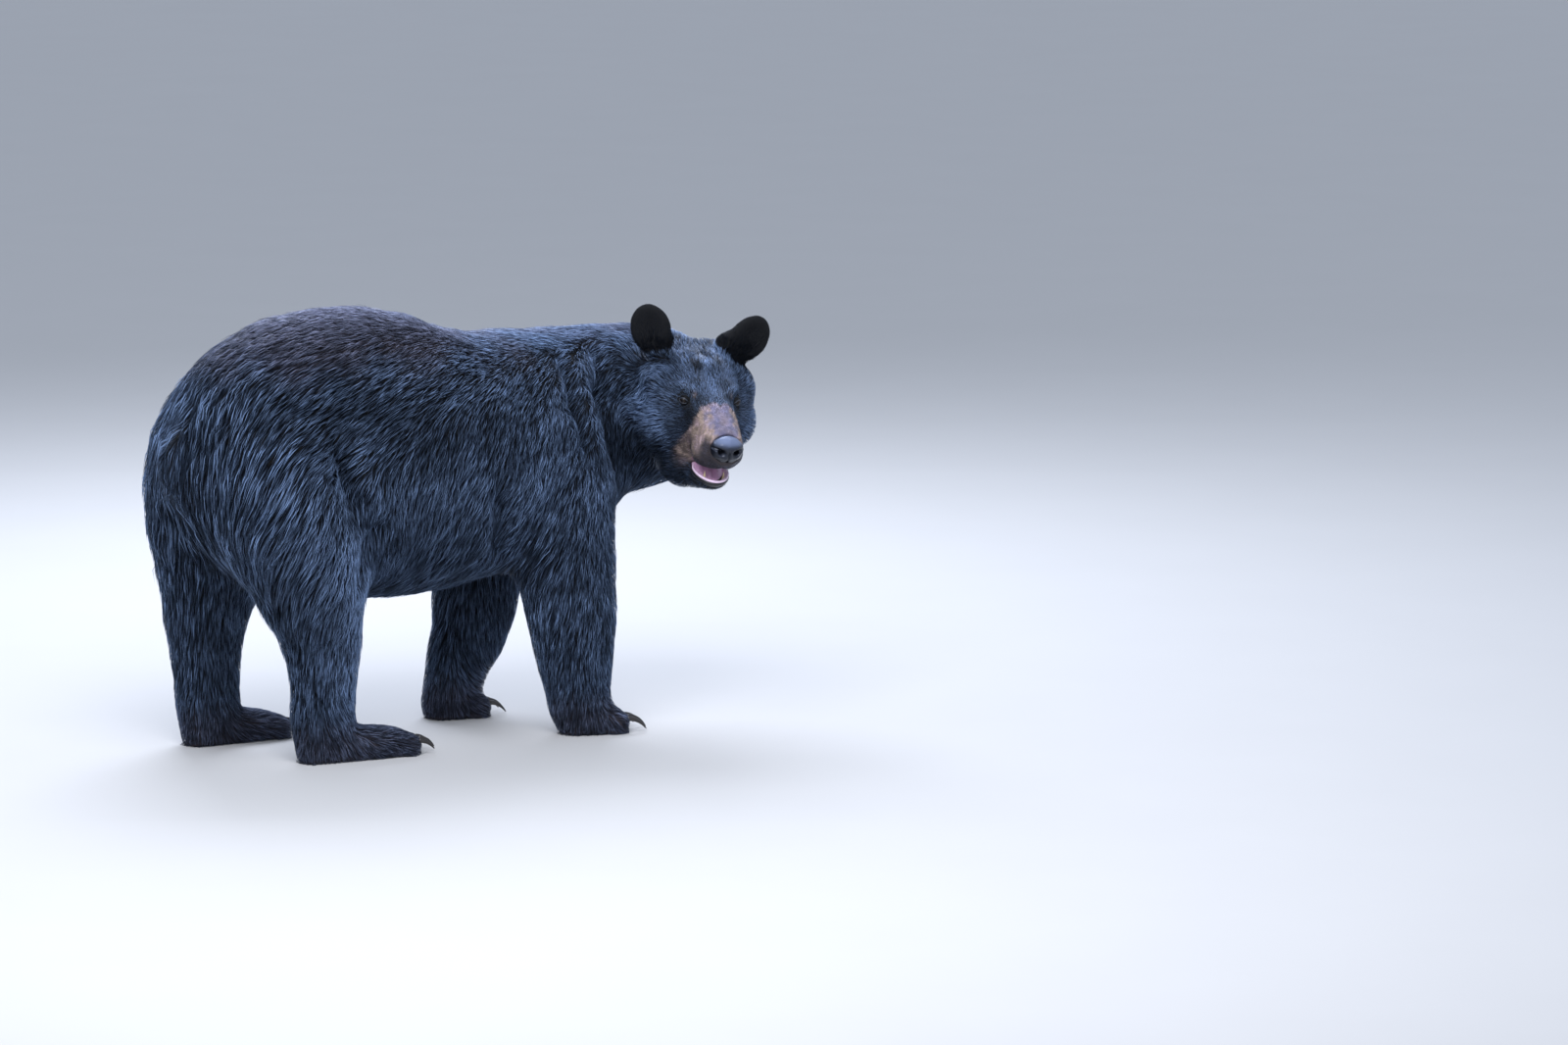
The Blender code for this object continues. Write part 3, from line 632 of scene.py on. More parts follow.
def bm_object(name, bm, place=None):
    """An object from a bmesh, which is moved by a matrix first."""
    if place:
        bmesh.ops.transform(bm, matrix=place, verts=bm.verts)
    mesh = bpy.data.meshes.new(name)
    bm.to_mesh(mesh)
    bm.free()
    return new_object(name, mesh)


def finished(obj, material, slot, *stands_for):
    """Shades a piece smooth, gives it its material, fixes it to the still body and hides the solids
    it stands for.
    """
    faces = obj.data.polygons
    faces.foreach_set("use_smooth", np.ones(len(faces), bool))
    obj.data.materials.append(material)
    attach(obj, "root")
    if stands_for:
        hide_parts(*stands_for)


def modified(obj, *modifiers):
    """Replaces an object's mesh by what these modifiers, (kind, settings), make of it."""
    for kind, settings in modifiers:
        modifier = obj.modifiers.new(kind.title(), kind)
        for name, value in settings.items():
            setattr(modifier, name, value)
    now = bpy.context.evaluated_depsgraph_get()
    mesh = bpy.data.meshes.new_from_object(obj.evaluated_get(now), depsgraph=now)
    obj.modifiers.clear()
    old = obj.data
    obj.data = mesh
    bpy.data.meshes.remove(old)


def copies(nodes, swell=0.0):
    """A bmesh of solids with their doubles merged, each swelled along its normals."""
    whole = bmesh.new()
    for node in nodes:
        bm = bmesh.new()
        bm.from_mesh(frame["nodes"][node].data)
        bmesh.ops.remove_doubles(bm, verts=bm.verts, dist=1e-5)
        bm.normal_update()
        for vert in bm.verts:
            vert.co += vert.normal * swell
        passing = bpy.data.meshes.new("passing")
        bm.to_mesh(passing)
        bm.free()
        whole.from_mesh(passing)
        bpy.data.meshes.remove(passing)
    return whole


def rounded(name, nodes, swell=0.0):
    """An object of some solids, made smooth by subdivision."""
    obj = bm_object(name, copies(nodes, swell))
    modified(obj, ("SUBSURF", {"levels": 2, "render_levels": 2}))
    return obj


def plug(tree, node, inputs):
    """Sets a node's inputs; each is a value or another node's output."""
    for name, value in inputs.items():
        if isinstance(value, bpy.types.NodeSocket):
            tree.links.new(value, node.inputs[name])
        else:
            node.inputs[name].default_value = value


def add_node(tree, kind, inputs, output=0, **settings):
    """One output of a new shader node with its settings and inputs."""
    node = tree.nodes.new("ShaderNode" + kind)
    for name, value in settings.items():
        setattr(node, name, value)
    plug(tree, node, inputs)
    return node.outputs[output]


def rgba(value):
    """A colour as a node takes it; another node's output stays as it is."""
    return value if isinstance(value, bpy.types.NodeSocket) else (*value, 1)


def new_material(name):
    """A material with its node tree and principled shader."""
    material = bpy.data.materials.new(name)
    material.use_nodes = True
    return material, material.node_tree, material.node_tree.nodes["Principled BSDF"]


def mixed(tree, share, first, second, blend="MIX"):
    """A mix of two colours."""
    inputs = {"Factor": share, 6: rgba(first), 7: rgba(second)}
    return add_node(tree, "Mix", inputs, 2, data_type="RGBA", blend_type=blend)


def shaded(tree, base, light):
    """A colour made lighter or darker by a value."""
    grey = add_node(tree, "CombineColor", {0: light, 1: light, 2: light})
    return mixed(tree, 1.0, base, grey, "MULTIPLY")


def maths(tree, operation, *values):
    return add_node(tree, "Math", dict(enumerate(values)), operation=operation)


def attribute(tree, name, output="Fac"):
    return add_node(tree, "Attribute", {}, output, attribute_name=name)


def three_of(tree, name):
    """The three numbers of a vector that the mesh carries."""
    return add_node(tree, "SeparateXYZ", {0: attribute(tree, name, "Vector")}).node.outputs


def ranged(tree, value, low, high, to_low=0.0, to_high=1.0):
    """A value mapped from one range to another."""
    sizes = {"From Min": low, "From Max": high, "To Min": to_low, "To Max": to_high}
    return add_node(tree, "MapRange", {"Value": value, **sizes})


def on_object(tree):
    """The object's own coordinates."""
    return add_node(tree, "TexCoord", {}, "Object")


def noise(tree, where, scale, detail, dark, light, low=0.3, high=0.7):
    """Noise with most of its values stretched to between dark and light."""
    inputs = {"Vector": where, "Scale": scale, "Detail": detail}
    return ranged(tree, add_node(tree, "TexNoise", inputs, "Fac"), low, high, dark, light)


def bumped(tree, height, strength, distance):
    inputs = {"Strength": strength, "Distance": distance, "Height": height}
    return add_node(tree, "Bump", inputs)


def marked(tree, base, skin):
    """The coat's markings over a base colour: tan, bridge, lining and rusty brown."""
    where = on_object(tree)
    light = noise(tree, where, 110, 4, 0.6, 1.3)
    flush = noise(tree, where, 60, 3, 0, 1, 0.47, 0.66)
    tan = shaded(tree, mixed(tree, flush, skin.tan, skin.flush), light)
    bridge = shaded(tree, skin.bridge, light)
    found = mixed(tree, attribute(tree, "rust"), base, bpy.context.scene.bear_coat.brown)
    for share, over in zip(three_of(tree, "marking"), (tan, bridge, skin.gum)):
        found = mixed(tree, share, found, over)
    return found


def hide_material():
    """Dry dark hide under thin hair: matt, with a fine grain of hair roots and creases."""
    skin = bpy.context.scene.bear_skin
    material, tree, shader = new_material("dark_hide")
    where = on_object(tree)
    patches = noise(tree, where, 60, 3, 0.75, 1.0)
    grain = add_node(tree, "TexNoise", {"Vector": where, "Scale": 900, "Detail": 2}, "Fac")
    wet = three_of(tree, "marking")[2]
    look = {
        "Base Color": shaded(tree, marked(tree, skin.hide, skin), patches),
        "Normal": bumped(tree, grain, 0.5, 0.0008),
        "Roughness": ranged(tree, wet, 0.0, 1.0, 0.85, 0.3),
        "Specular IOR Level": 0.3,
    }
    plug(tree, shader, look)
    return material


def hair_material(name, root, tip, roughness, gloss):
    """Guard hair: black keratin, half glossy, that mirrors a cool sky along its length, with a
    painted bluish sky sheen in its tip colour.

    Fine streaks run along each tuft, finer than the tuft itself, and each has its own tone, which
    also carries painted sheen and painted shade.
    """
    material, tree, shader = new_material(name)
    along, across, tone = three_of(tree, "strand")
    # the tip colour, bluish on the coat, is painted sky sheen over black hair
    base = mixed(tree, ranged(tree, along, 0.05, 0.75), root, tip)
    base = marked(tree, base, bpy.context.scene.bear_skin)
    lot = maths(tree, "MULTIPLY", tone, 37.0)
    wide = maths(tree, "MULTIPLY_ADD", across, 3.0, lot)
    place = add_node(tree, "CombineXYZ", {0: wide, 1: along, 2: lot})
    streaks = noise(tree, place, 1.6, 2, 0.55, 1.45)
    # each tuft's tone, random and with painted sheen and shade added, sets how light it is
    level = ranged(tree, maths(tree, "POWER", tone, 2.2), 0.0, 1.0, 0.25, 3.4)
    look = {
        "Base Color": shaded(tree, base, maths(tree, "MULTIPLY", streaks, level)),
        "Roughness": roughness,
        "IOR": 1.55,
        "Specular IOR Level": gloss,
        "Specular Tint": rgba(linear("#b0cbf2")),
    }
    plug(tree, shader, look)
    return material


def plain_material(name, base, roughness, pattern, bump, coat, tint="#ffffff"):
    """A glossy or matt skin, horn or enamel with a noise pattern of (scale, darkest share)."""
    material, tree, shader = new_material(name)
    where = on_object(tree)
    scale, darkest = pattern
    look = {
        "Base Color": shaded(tree, base, noise(tree, where, scale, 4, darkest, 1.1)),
        "Roughness": roughness,
        "Coat Weight": coat,
        "Coat Roughness": 0.12,
        "Specular Tint": rgba(linear(tint)),
    }
    if bump:
        cells = add_node(tree, "TexVoronoi", {"Vector": where, "Scale": scale * 2.2})
        look["Normal"] = bumped(tree, cells, 0.6, bump)
    plug(tree, shader, look)
    return material


def nose_material(base):
    """Damp nose leather: dark, pebbled in cells of about a millimetre, with a soft wet shine, a
    painted bluish highlight on its top and painted shade in its nostrils, groove and lower half.
    """
    material = plain_material("nose_leather", base, 0.40, (420, 0.6), 0.0007, 0.45, "#b9c8f0")
    tree = material.node_tree
    shader = tree.nodes["Principled BSDF"]
    pebbled = shader.inputs["Base Color"].links[0].from_socket
    # painted highlight: a bluish sheen laid over the top of the pad
    lit = mixed(tree, attribute(tree, "painted_top_sheen"), pebbled, linear("#66718c"))
    # painted shade in the nostrils, the groove and over the lower half of the pad
    dark = mixed(tree, attribute(tree, "painted_shade"), lit, linear("#08080c"))
    plug(tree, shader, {"Base Color": dark})
    return material


def claw_material(base):
    """Claw horn: dark brown-black keratin with faint streaks and a worn half gloss."""
    return plain_material("claw_horn", base, 0.38, (260, 0.65), 0.0, 0.15)


def eye_material(iris):
    """A wet eyeball: black pupil, brown iris with a dark ring, under a clear cornea's gloss."""
    material, tree, shader = new_material("wet_brown_eye")
    ramp = add_node(tree, "ValToRGB", {"Fac": attribute(tree, "off_gaze")})
    stops = (
        (0.00, linear("#050506")),
        (0.17, linear("#070606")),
        (0.21, iris),
        (0.36, tuple(0.4 * c for c in iris)),
        (0.42, linear("#060506")),
        (0.60, linear("#0d0a0a")),
    )
    elements = ramp.node.color_ramp.elements
    for k, (place, value) in enumerate(stops):
        element = elements[k] if k < 2 else elements.new(place)
        element.position = place
        element.color = rgba(value)
    look = {
        "Base Color": ramp,
        "Roughness": 0.35,
        "Specular IOR Level": 0.1,
        "Coat Weight": 0.35,
        "Coat Roughness": 0.02,
    }
    plug(tree, shader, look)
    return material


def anchors():
    """The coat tables in the row frame: rows of place, lie, depth, hair length, lock pull."""
    rows = []

    def add(place, lie, size):
        rows.append((*place, *Vector(lie).normalized(), *size))

    for x, aside, z, forward, out, up, *size in BODY_COAT:
        for side in (-1, 1):
            add((x, MIDLINE + side * aside, z), (forward, side * out, up), size)
    for row in NECK_COAT:
        add(row[:3], row[3:6], row[6:])
    for legs in (FORELEG_COAT, HINDLEG_COAT):
        for first in (0, 3):
            for row in legs:
                add(row[first : first + 3], row[6:9], row[9:])
    to_row = head_place()
    turn = to_row.to_3x3()
    for x, aside, z, forward, out, up, *size in HEAD_COAT:
        for side in (-1, 1):
            lie = Vector((forward, side * out, up))
            add(to_row @ Vector((x, side * aside, z)), turn @ lie, size)
    for side, spot in EAR_SPOT.items():
        lean = ear_lean(side)
        for row in EAR_COAT:
            place = to_row @ (spot + lean @ Vector(row[:3]))
            add(place, turn @ (lean @ Vector(row[3:6])), row[6:])
    return np.array(rows)


def coat_fields(points):
    """Lie, depth, hair length and lock pull at each point, blended from the anchors near it."""
    rows = anchors()
    values = np.ascontiguousarray(rows[:, 3:])
    found = np.empty((len(points), values.shape[1]))
    block = 20000
    for start in range(0, len(points), block):
        some = points[start : start + block]
        far = ((some[:, None] - rows[None, :, :3]) ** 2).sum(2)
        weight = (far + ANCHOR_CORE) ** ANCHOR_FALL
        found[start : start + block] = weight @ values / weight.sum(1)[:, None]
    lie, depth, hair, pull = unit(found[:, :3]), *found[:, 3:].T
    wander = np.stack([ripple(points, 0.11, SEED + k) for k in range(3)], axis=1)
    lie = unit(lie + LIE_WANDER * wander * step(hair, 0.012, 0.035)[:, None])
    waves = DEPTH_WAVES * ripple(points, 0.06, SEED + 5) * step(depth, 0.006, 0.014)
    depth = depth * (1 + waves)
    return lie, depth, hair, pull


def hairless(points, facing):
    """How bare each point is: 1 on the eyes, nose seat, mouth lining and soles."""
    in_head = into_head(points)
    bare = np.zeros(len(points))
    for side in (-1, 1):
        bare = np.maximum(bare, 1 - step(eye_ring(in_head, side), 0.95, 1.08))
    bare = np.maximum(bare, 1 - step(oval(in_head, *NOSE_SEAT), 0.95, 1.10))
    bare = np.maximum(bare, lining(points, facing))
    sole = (1 - step(points[:, 2], 0.004, 0.010)) * step(-facing[:, 2], 0.3, 0.7)
    return np.maximum(bare, sole)


def eye_ring(in_head, side):
    """Each point's place in the bare almond round an eye: 1 at its edge."""
    inner, outer, high = BARE_EYE
    spot, gaze, across, upward = eye_axes(side)
    away = in_head - spot
    a = away @ across * -side / SEAT
    b = away @ upward / SEAT + 0.12 * np.clip(a, 0, 2) ** 2
    ring = np.sqrt((a / np.where(a > 0, inner, outer)) ** 2 + (b / high) ** 2)
    return np.where(away @ gaze > 0, ring, 9.0)


def lining(points, facing):
    """How far each point lies inside the mouth."""
    in_head = into_head(points)
    in_jaw = moved(points, jaw_place().inverted())
    x, y, z = in_head.T
    roof = step(-(facing @ head_axis(2)), 0.45, 0.8)
    roof = roof * step(x, 0.105, 0.125) * (1 - step(x, 0.195, 0.205))
    roof = roof * (1 - step(np.abs(y), 0.020, 0.028)) * step(z, -0.090, -0.080)
    outward = facing @ np.array(jaw_place().to_3x3().normalized())
    outward = dots(outward, unit(in_jaw - JAW_HOLLOW[0]))[:, 0]
    floor = 1 - step(oval(in_jaw, *JAW_HOLLOW), 0.96, 1.06)
    floor = floor * (1 - step(outward, -0.1, 0.3))
    back = 1 - step(oval(in_head, *THROAT), 0.85, 1.0)
    return np.maximum(np.maximum(roof, floor), back)


def markings(points, facing):
    """Shares of tan, bridge and mouth lining at each point, and of rusty brown."""
    in_head = into_head(points)
    x, y, z = in_head.T
    aside = np.abs(y)
    ragged = 0.0035 * ripple(in_head, 0.012, SEED + 7)
    back = np.interp(z, MUZZLE_HEIGHT, MUZZLE_EDGE) + ragged
    upper = step(z + 0.062 + 0.2 * x, -0.004, 0.004)
    here = (aside < 0.09) & (x < 0.28) & (x > 0.05)
    muzzle = np.where(here, step(x, back - 0.007, back + 0.007), 0.0) * upper
    # hanging corners of the upper lip
    flews = np.exp(-(((x - 0.108) / 0.016) ** 2 + ((z + 0.088) / 0.014) ** 2)) * here
    flews = flews * step(aside, 0.026, 0.036) * 0.55
    lip = step(-z, 0.046, 0.057) * step(x, 0.155, 0.182) * upper
    lip = np.maximum(lip, step(x + ragged, 0.182, 0.208) * step(-z, -0.006, 0.014) * 0.95)
    # a light spot over each eye
    spot = ((x - 0.099) / 0.004) ** 2 + ((aside - 0.040) / 0.004) ** 2 + ((z - 0.050) / 0.006) ** 2
    brow = np.exp(-spot) * 0.22
    bridge = muzzle * step(z, -0.010, 0.012) * (1 - step(aside + 2 * ragged, 0.020, 0.034))
    tan = np.clip(np.maximum(muzzle, flews) * (1 - 0.96 * lip) + brow, 0, 1)
    smudge = ((x - 0.180) / 0.016) ** 2 + ((y - 0.004) / 0.009) ** 2 + ((z - 0.03) / 0.02) ** 2
    smudge = 0.5 * np.exp(-smudge) + 0.12 * ripple(in_head, 0.014, SEED + 11)
    tan = np.clip(tan * (1 - smudge), 0, 1)
    bridge = np.clip(bridge * (1 - 0.9 * lip) * 0.9 * (1 - smudge), 0, 1)
    # browner towards the mouth
    olive = muzzle * step(-z, 0.005, 0.040) * 0.34
    tan = tan * (1 - olive)
    feet = (1 - step(points[:, 2], 0.05, 0.13)) * 0.45
    top = step(points[:, 2] + 0.02 * ripple(points, 0.10, SEED + 8), 0.78, 0.88) * 0.62
    top = top * (1 - step(x, -0.17, -0.10) * (np.linalg.norm(in_head, axis=1) < 0.35))
    shares = np.stack([tan, bridge, lining(points, facing)], axis=1)
    return shares, np.clip(feet + top + olive * 1.2, 0, 1)


def set_eyelids(points, radius):
    """Lays the skin round each eye over the eyeball and sinks it behind the opening."""
    in_head = into_head(points)
    wide, high = LID_OPENING
    for side in (-1, 1):
        spot, gaze, across, upward = eye_axes(side)
        away = in_head - spot
        front, a, b = away @ gaze, away @ across, away @ upward
        ring = np.hypot(a / (radius * wide), b / (radius * high))
        aside = a * a + b * b
        shell = np.sqrt(np.maximum((radius + LID_THICKNESS) ** 2 - aside, 0))
        socket = np.sqrt(np.maximum((radius * wide) ** 2 - aside, 0))
        reach = np.where(ring < 1, socket, np.maximum(front, shell))
        close = (front > -0.3 * radius) & (np.linalg.norm(away, axis=1) < 0.024)
        in_head = in_head + np.where(close, reach - front, 0)[:, None] * gaze
    return moved(in_head, head_place())


class BEAR_OT_skin(bpy.types.Operator):
    """Melts the flesh solids into one skin that lies inside them by the depth of the coat"""

    bl_idname = "bear.skin"
    bl_label = "Skin"

    def execute(self, context):
        settings = context.scene.bear_skin
        parts = frame["record"]["subparts"]
        flesh = [part["node"] for part in parts if part["material_slot"] == "black_fur"]
        skin = bm_object("skin", copies(flesh, settings.weld))
        modified(skin, ("REMESH", {"mode": "VOXEL", "voxel_size": settings.grid}))
        outline = self.smoothed_outline(skin)
        self.sink(skin, outline)
        self.thin(skin, settings.faces, outline)
        self.refine(skin)
        points = set_eyelids(positions(skin.data), context.scene.bear_face.eye)
        points[:, 2] = np.maximum(points[:, 2], SOLE_GAP)
        place_points(skin.data, points)
        self.describe(skin.data)
        finished(skin, hide_material(), "black_fur", *flesh)
        return {"FINISHED"}

    def smoothed_outline(self, skin):
        """Smooths the flats away, much on the body and little on the head, and gives the points."""
        points = positions(skin.data)
        body = step(oval(into_head(points), 0, (0.27, 0.20, 0.21)), 0.8, 1.15)
        feet = 1 - step(points[:, 2], 0.03, 0.09)
        group = skin.vertex_groups.new(name="body")
        weights = body * (1 - 0.85 * feet)
        for level in range(1, 11):
            some = np.nonzero(np.rint(weights * 10) == level)[0]
            if len(some):
                group.add(some.tolist(), level / 10, "REPLACE")
        modified(
            skin,
            ("SMOOTH", {"factor": 0.5, "iterations": 6}),
            ("SMOOTH", {"factor": 0.9, "iterations": 60, "vertex_group": "body"}),
        )
        return positions(skin.data)

    def sink(self, skin, outline):
        """Lowers the skin below the outline by the coat's depth, and adds its forms."""
        depth = coat_fields(outline)[1]
        facing = normals(skin.data)
        in_head = into_head(outline)
        for side in (-1, 1):
            depth = depth * step(oval(in_head, eye_seat(side), 1), 0.013, 0.026)
        depth = depth * (1 - hairless(outline, facing))
        sole = 1 - step(outline[:, 2], 0.010, 0.030)
        inward = facing.copy()
        inward[:, 2] *= 1 - sole
        place_points(skin.data, outline - inward * (depth - relief(outline))[:, None])

    def thin(self, skin, faces, outline):
        """Thins the mesh, less on the head than on the body."""
        keep = 1 - step(oval(into_head(outline), 0, (0.25, 0.17, 0.18)), 0.9, 1.2)
        skin.vertex_groups.clear()
        group = skin.vertex_groups.new(name="thin")
        group.add(np.nonzero(keep < 0.5)[0].tolist(), 1.0, "REPLACE")
        share = faces / sum(len(face.vertices) - 2 for face in skin.data.polygons)
        settings = {"ratio": share, "vertex_group": "thin", "vertex_group_factor": 6.0}
        modified(skin, ("DECIMATE", settings))
        skin.vertex_groups.clear()

    def refine(self, skin):
        """Splits the faces round the eyes so that the lids can be shaped."""
        spots = [head_place() @ eye_seat(side) for side in (-1, 1)]
        bm = bmesh.new()
        bm.from_mesh(skin.data)
        for reach in (0.026, 0.020):
            near = [
                edge
                for edge in bm.edges
                if any((edge.verts[0].co - spot).length < reach for spot in spots)
            ]
            bmesh.ops.subdivide_edges(bm, edges=near, cuts=1, use_grid_fill=True, smooth=0.0)
        bmesh.ops.triangulate(bm, faces=bm.faces)
        bm.to_mesh(skin.data)
        bm.free()

    def describe(self, mesh):
        """Writes the coat's fields and the markings on the skin's points."""
        points, facing = positions(mesh), normals(mesh)
        lie, *sizes = coat_fields(points)
        marking, rust = markings(points, facing)
        write_numbers(mesh, "lie", unit(lie - facing * dots(lie, facing)))
        write_numbers(mesh, "coat", np.stack(sizes, axis=1))
        write_numbers(mesh, "bare", hairless(points, facing))
        write_numbers(mesh, "marking", marking)
        write_numbers(mesh, "rust", rust)


def tuft_rings(path, up, width, thick):
    """Three corners round each point of each tuft's line but its last."""
    tufts, count, _ = path.shape
    rings = np.empty((tufts, count - 1, 3, 3))
    for k in range(count - 1):
        along = unit(path[:, k + 1] - path[:, max(k - 1, 0)])
        over = unit(up[:, k] - along * dots(up[:, k], along))
        side = np.cross(along, over)
        taper = 1 - TAPER[0] * (k / (count - 1)) ** TAPER[1]
        half = side * (width * taper / 2)[:, None]
        keel = over * (thick * taper * KEEL)[:, None]
        rings[:, k, 0] = path[:, k] - half - keel
        rings[:, k, 1] = path[:, k] + half - keel
        rings[:, k, 2] = path[:, k] + over * (thick * taper)[:, None]
    return rings


def tuft_mesh(path, up, width, thick, places, tones):
    """Vertices, faces, map corners and point values of closed three-sided tufts."""
    tufts, count, _ = path.shape
    rings = tuft_rings(path, up, width, thick)
    levels = count - 1
    own = levels * 3 + 1
    points = np.concatenate([rings.reshape(tufts, -1, 3), path[:, -1:]], axis=1).reshape(-1, 3)
    points[:, 2] = np.maximum(points[:, 2], FLOOR_GAP)
    first = (np.arange(tufts) * own)[:, None]
    sides = [(c, (c + 1) % 3, c / 3 - 0.5, (c + 1) / 3 - 0.5) for c in range(3)]
    quads, quad_map, tris, tri_map = [np.empty((0, 4), int)], [], [], []
    for k in range(levels - 1):
        low, high = k / levels - 0.5, (k + 1) / levels - 0.5
        for c, n, left, right in sides:
            quads.append(first + k * 3 + (c, n, 3 + n, 3 + c))
            quad_map.append(((left, low), (right, low), (right, high), (left, high)))
    base = (levels - 1) * 3
    low = (levels - 1) / levels - 0.5
    for c, n, left, right in sides:
        tris.append(first + (base + c, base + n, own - 1))
        tri_map.append(((left, low), (right, low), ((left + right) / 2, 0.5)))
    tris.append(first + (2, 1, 0))
    tri_map.append(((0.0, -0.4), (0.5, -0.5), (-0.5, -0.5)))

    def mapped(shapes, corners):
        shapes = np.reshape(shapes, (-1, 1, corners, 2)) * PATCH
        return (places[None, :, None] + shapes).reshape(-1, 2)

    along = np.append(np.repeat(np.arange(levels) / levels, 3), 1.0)
    across = np.append(np.tile((0.0, 1.0, 0.5), levels), 0.5)
    values = (np.tile(along, tufts), np.tile(across, tufts), np.repeat(tones, own))
    maps = mapped(quad_map, 4), mapped(tri_map, 3)
    strand = np.stack(values, axis=1)
    return points, np.concatenate(quads), maps[0], np.concatenate(tris), maps[1], strand


def raw_mesh(name, points, quads, quad_map, tris, tri_map):
    """A mesh from arrays, with its map."""
    mesh = bpy.data.meshes.new(name)
    mesh.vertices.add(len(points))
    mesh.vertices.foreach_set("co", points.astype(np.float32).ravel())
    corners = np.concatenate([quads.ravel(), tris.ravel()]).astype(np.int32)
    mesh.loops.add(len(corners))
    mesh.loops.foreach_set("vertex_index", corners)
    mesh.polygons.add(len(quads) + len(tris))
    starts = np.concatenate([np.arange(len(quads)) * 4, quads.size + np.arange(len(tris)) * 3])
    mesh.polygons.foreach_set("loop_start", starts.astype(np.int32))
    layer = mesh.uv_layers.new(name="OFBake")
    layer.data.foreach_set("uv", np.concatenate([quad_map, tri_map]).astype(np.float32).ravel())
    mesh.update(calc_edges=True)
    mesh.validate()
    return mesh


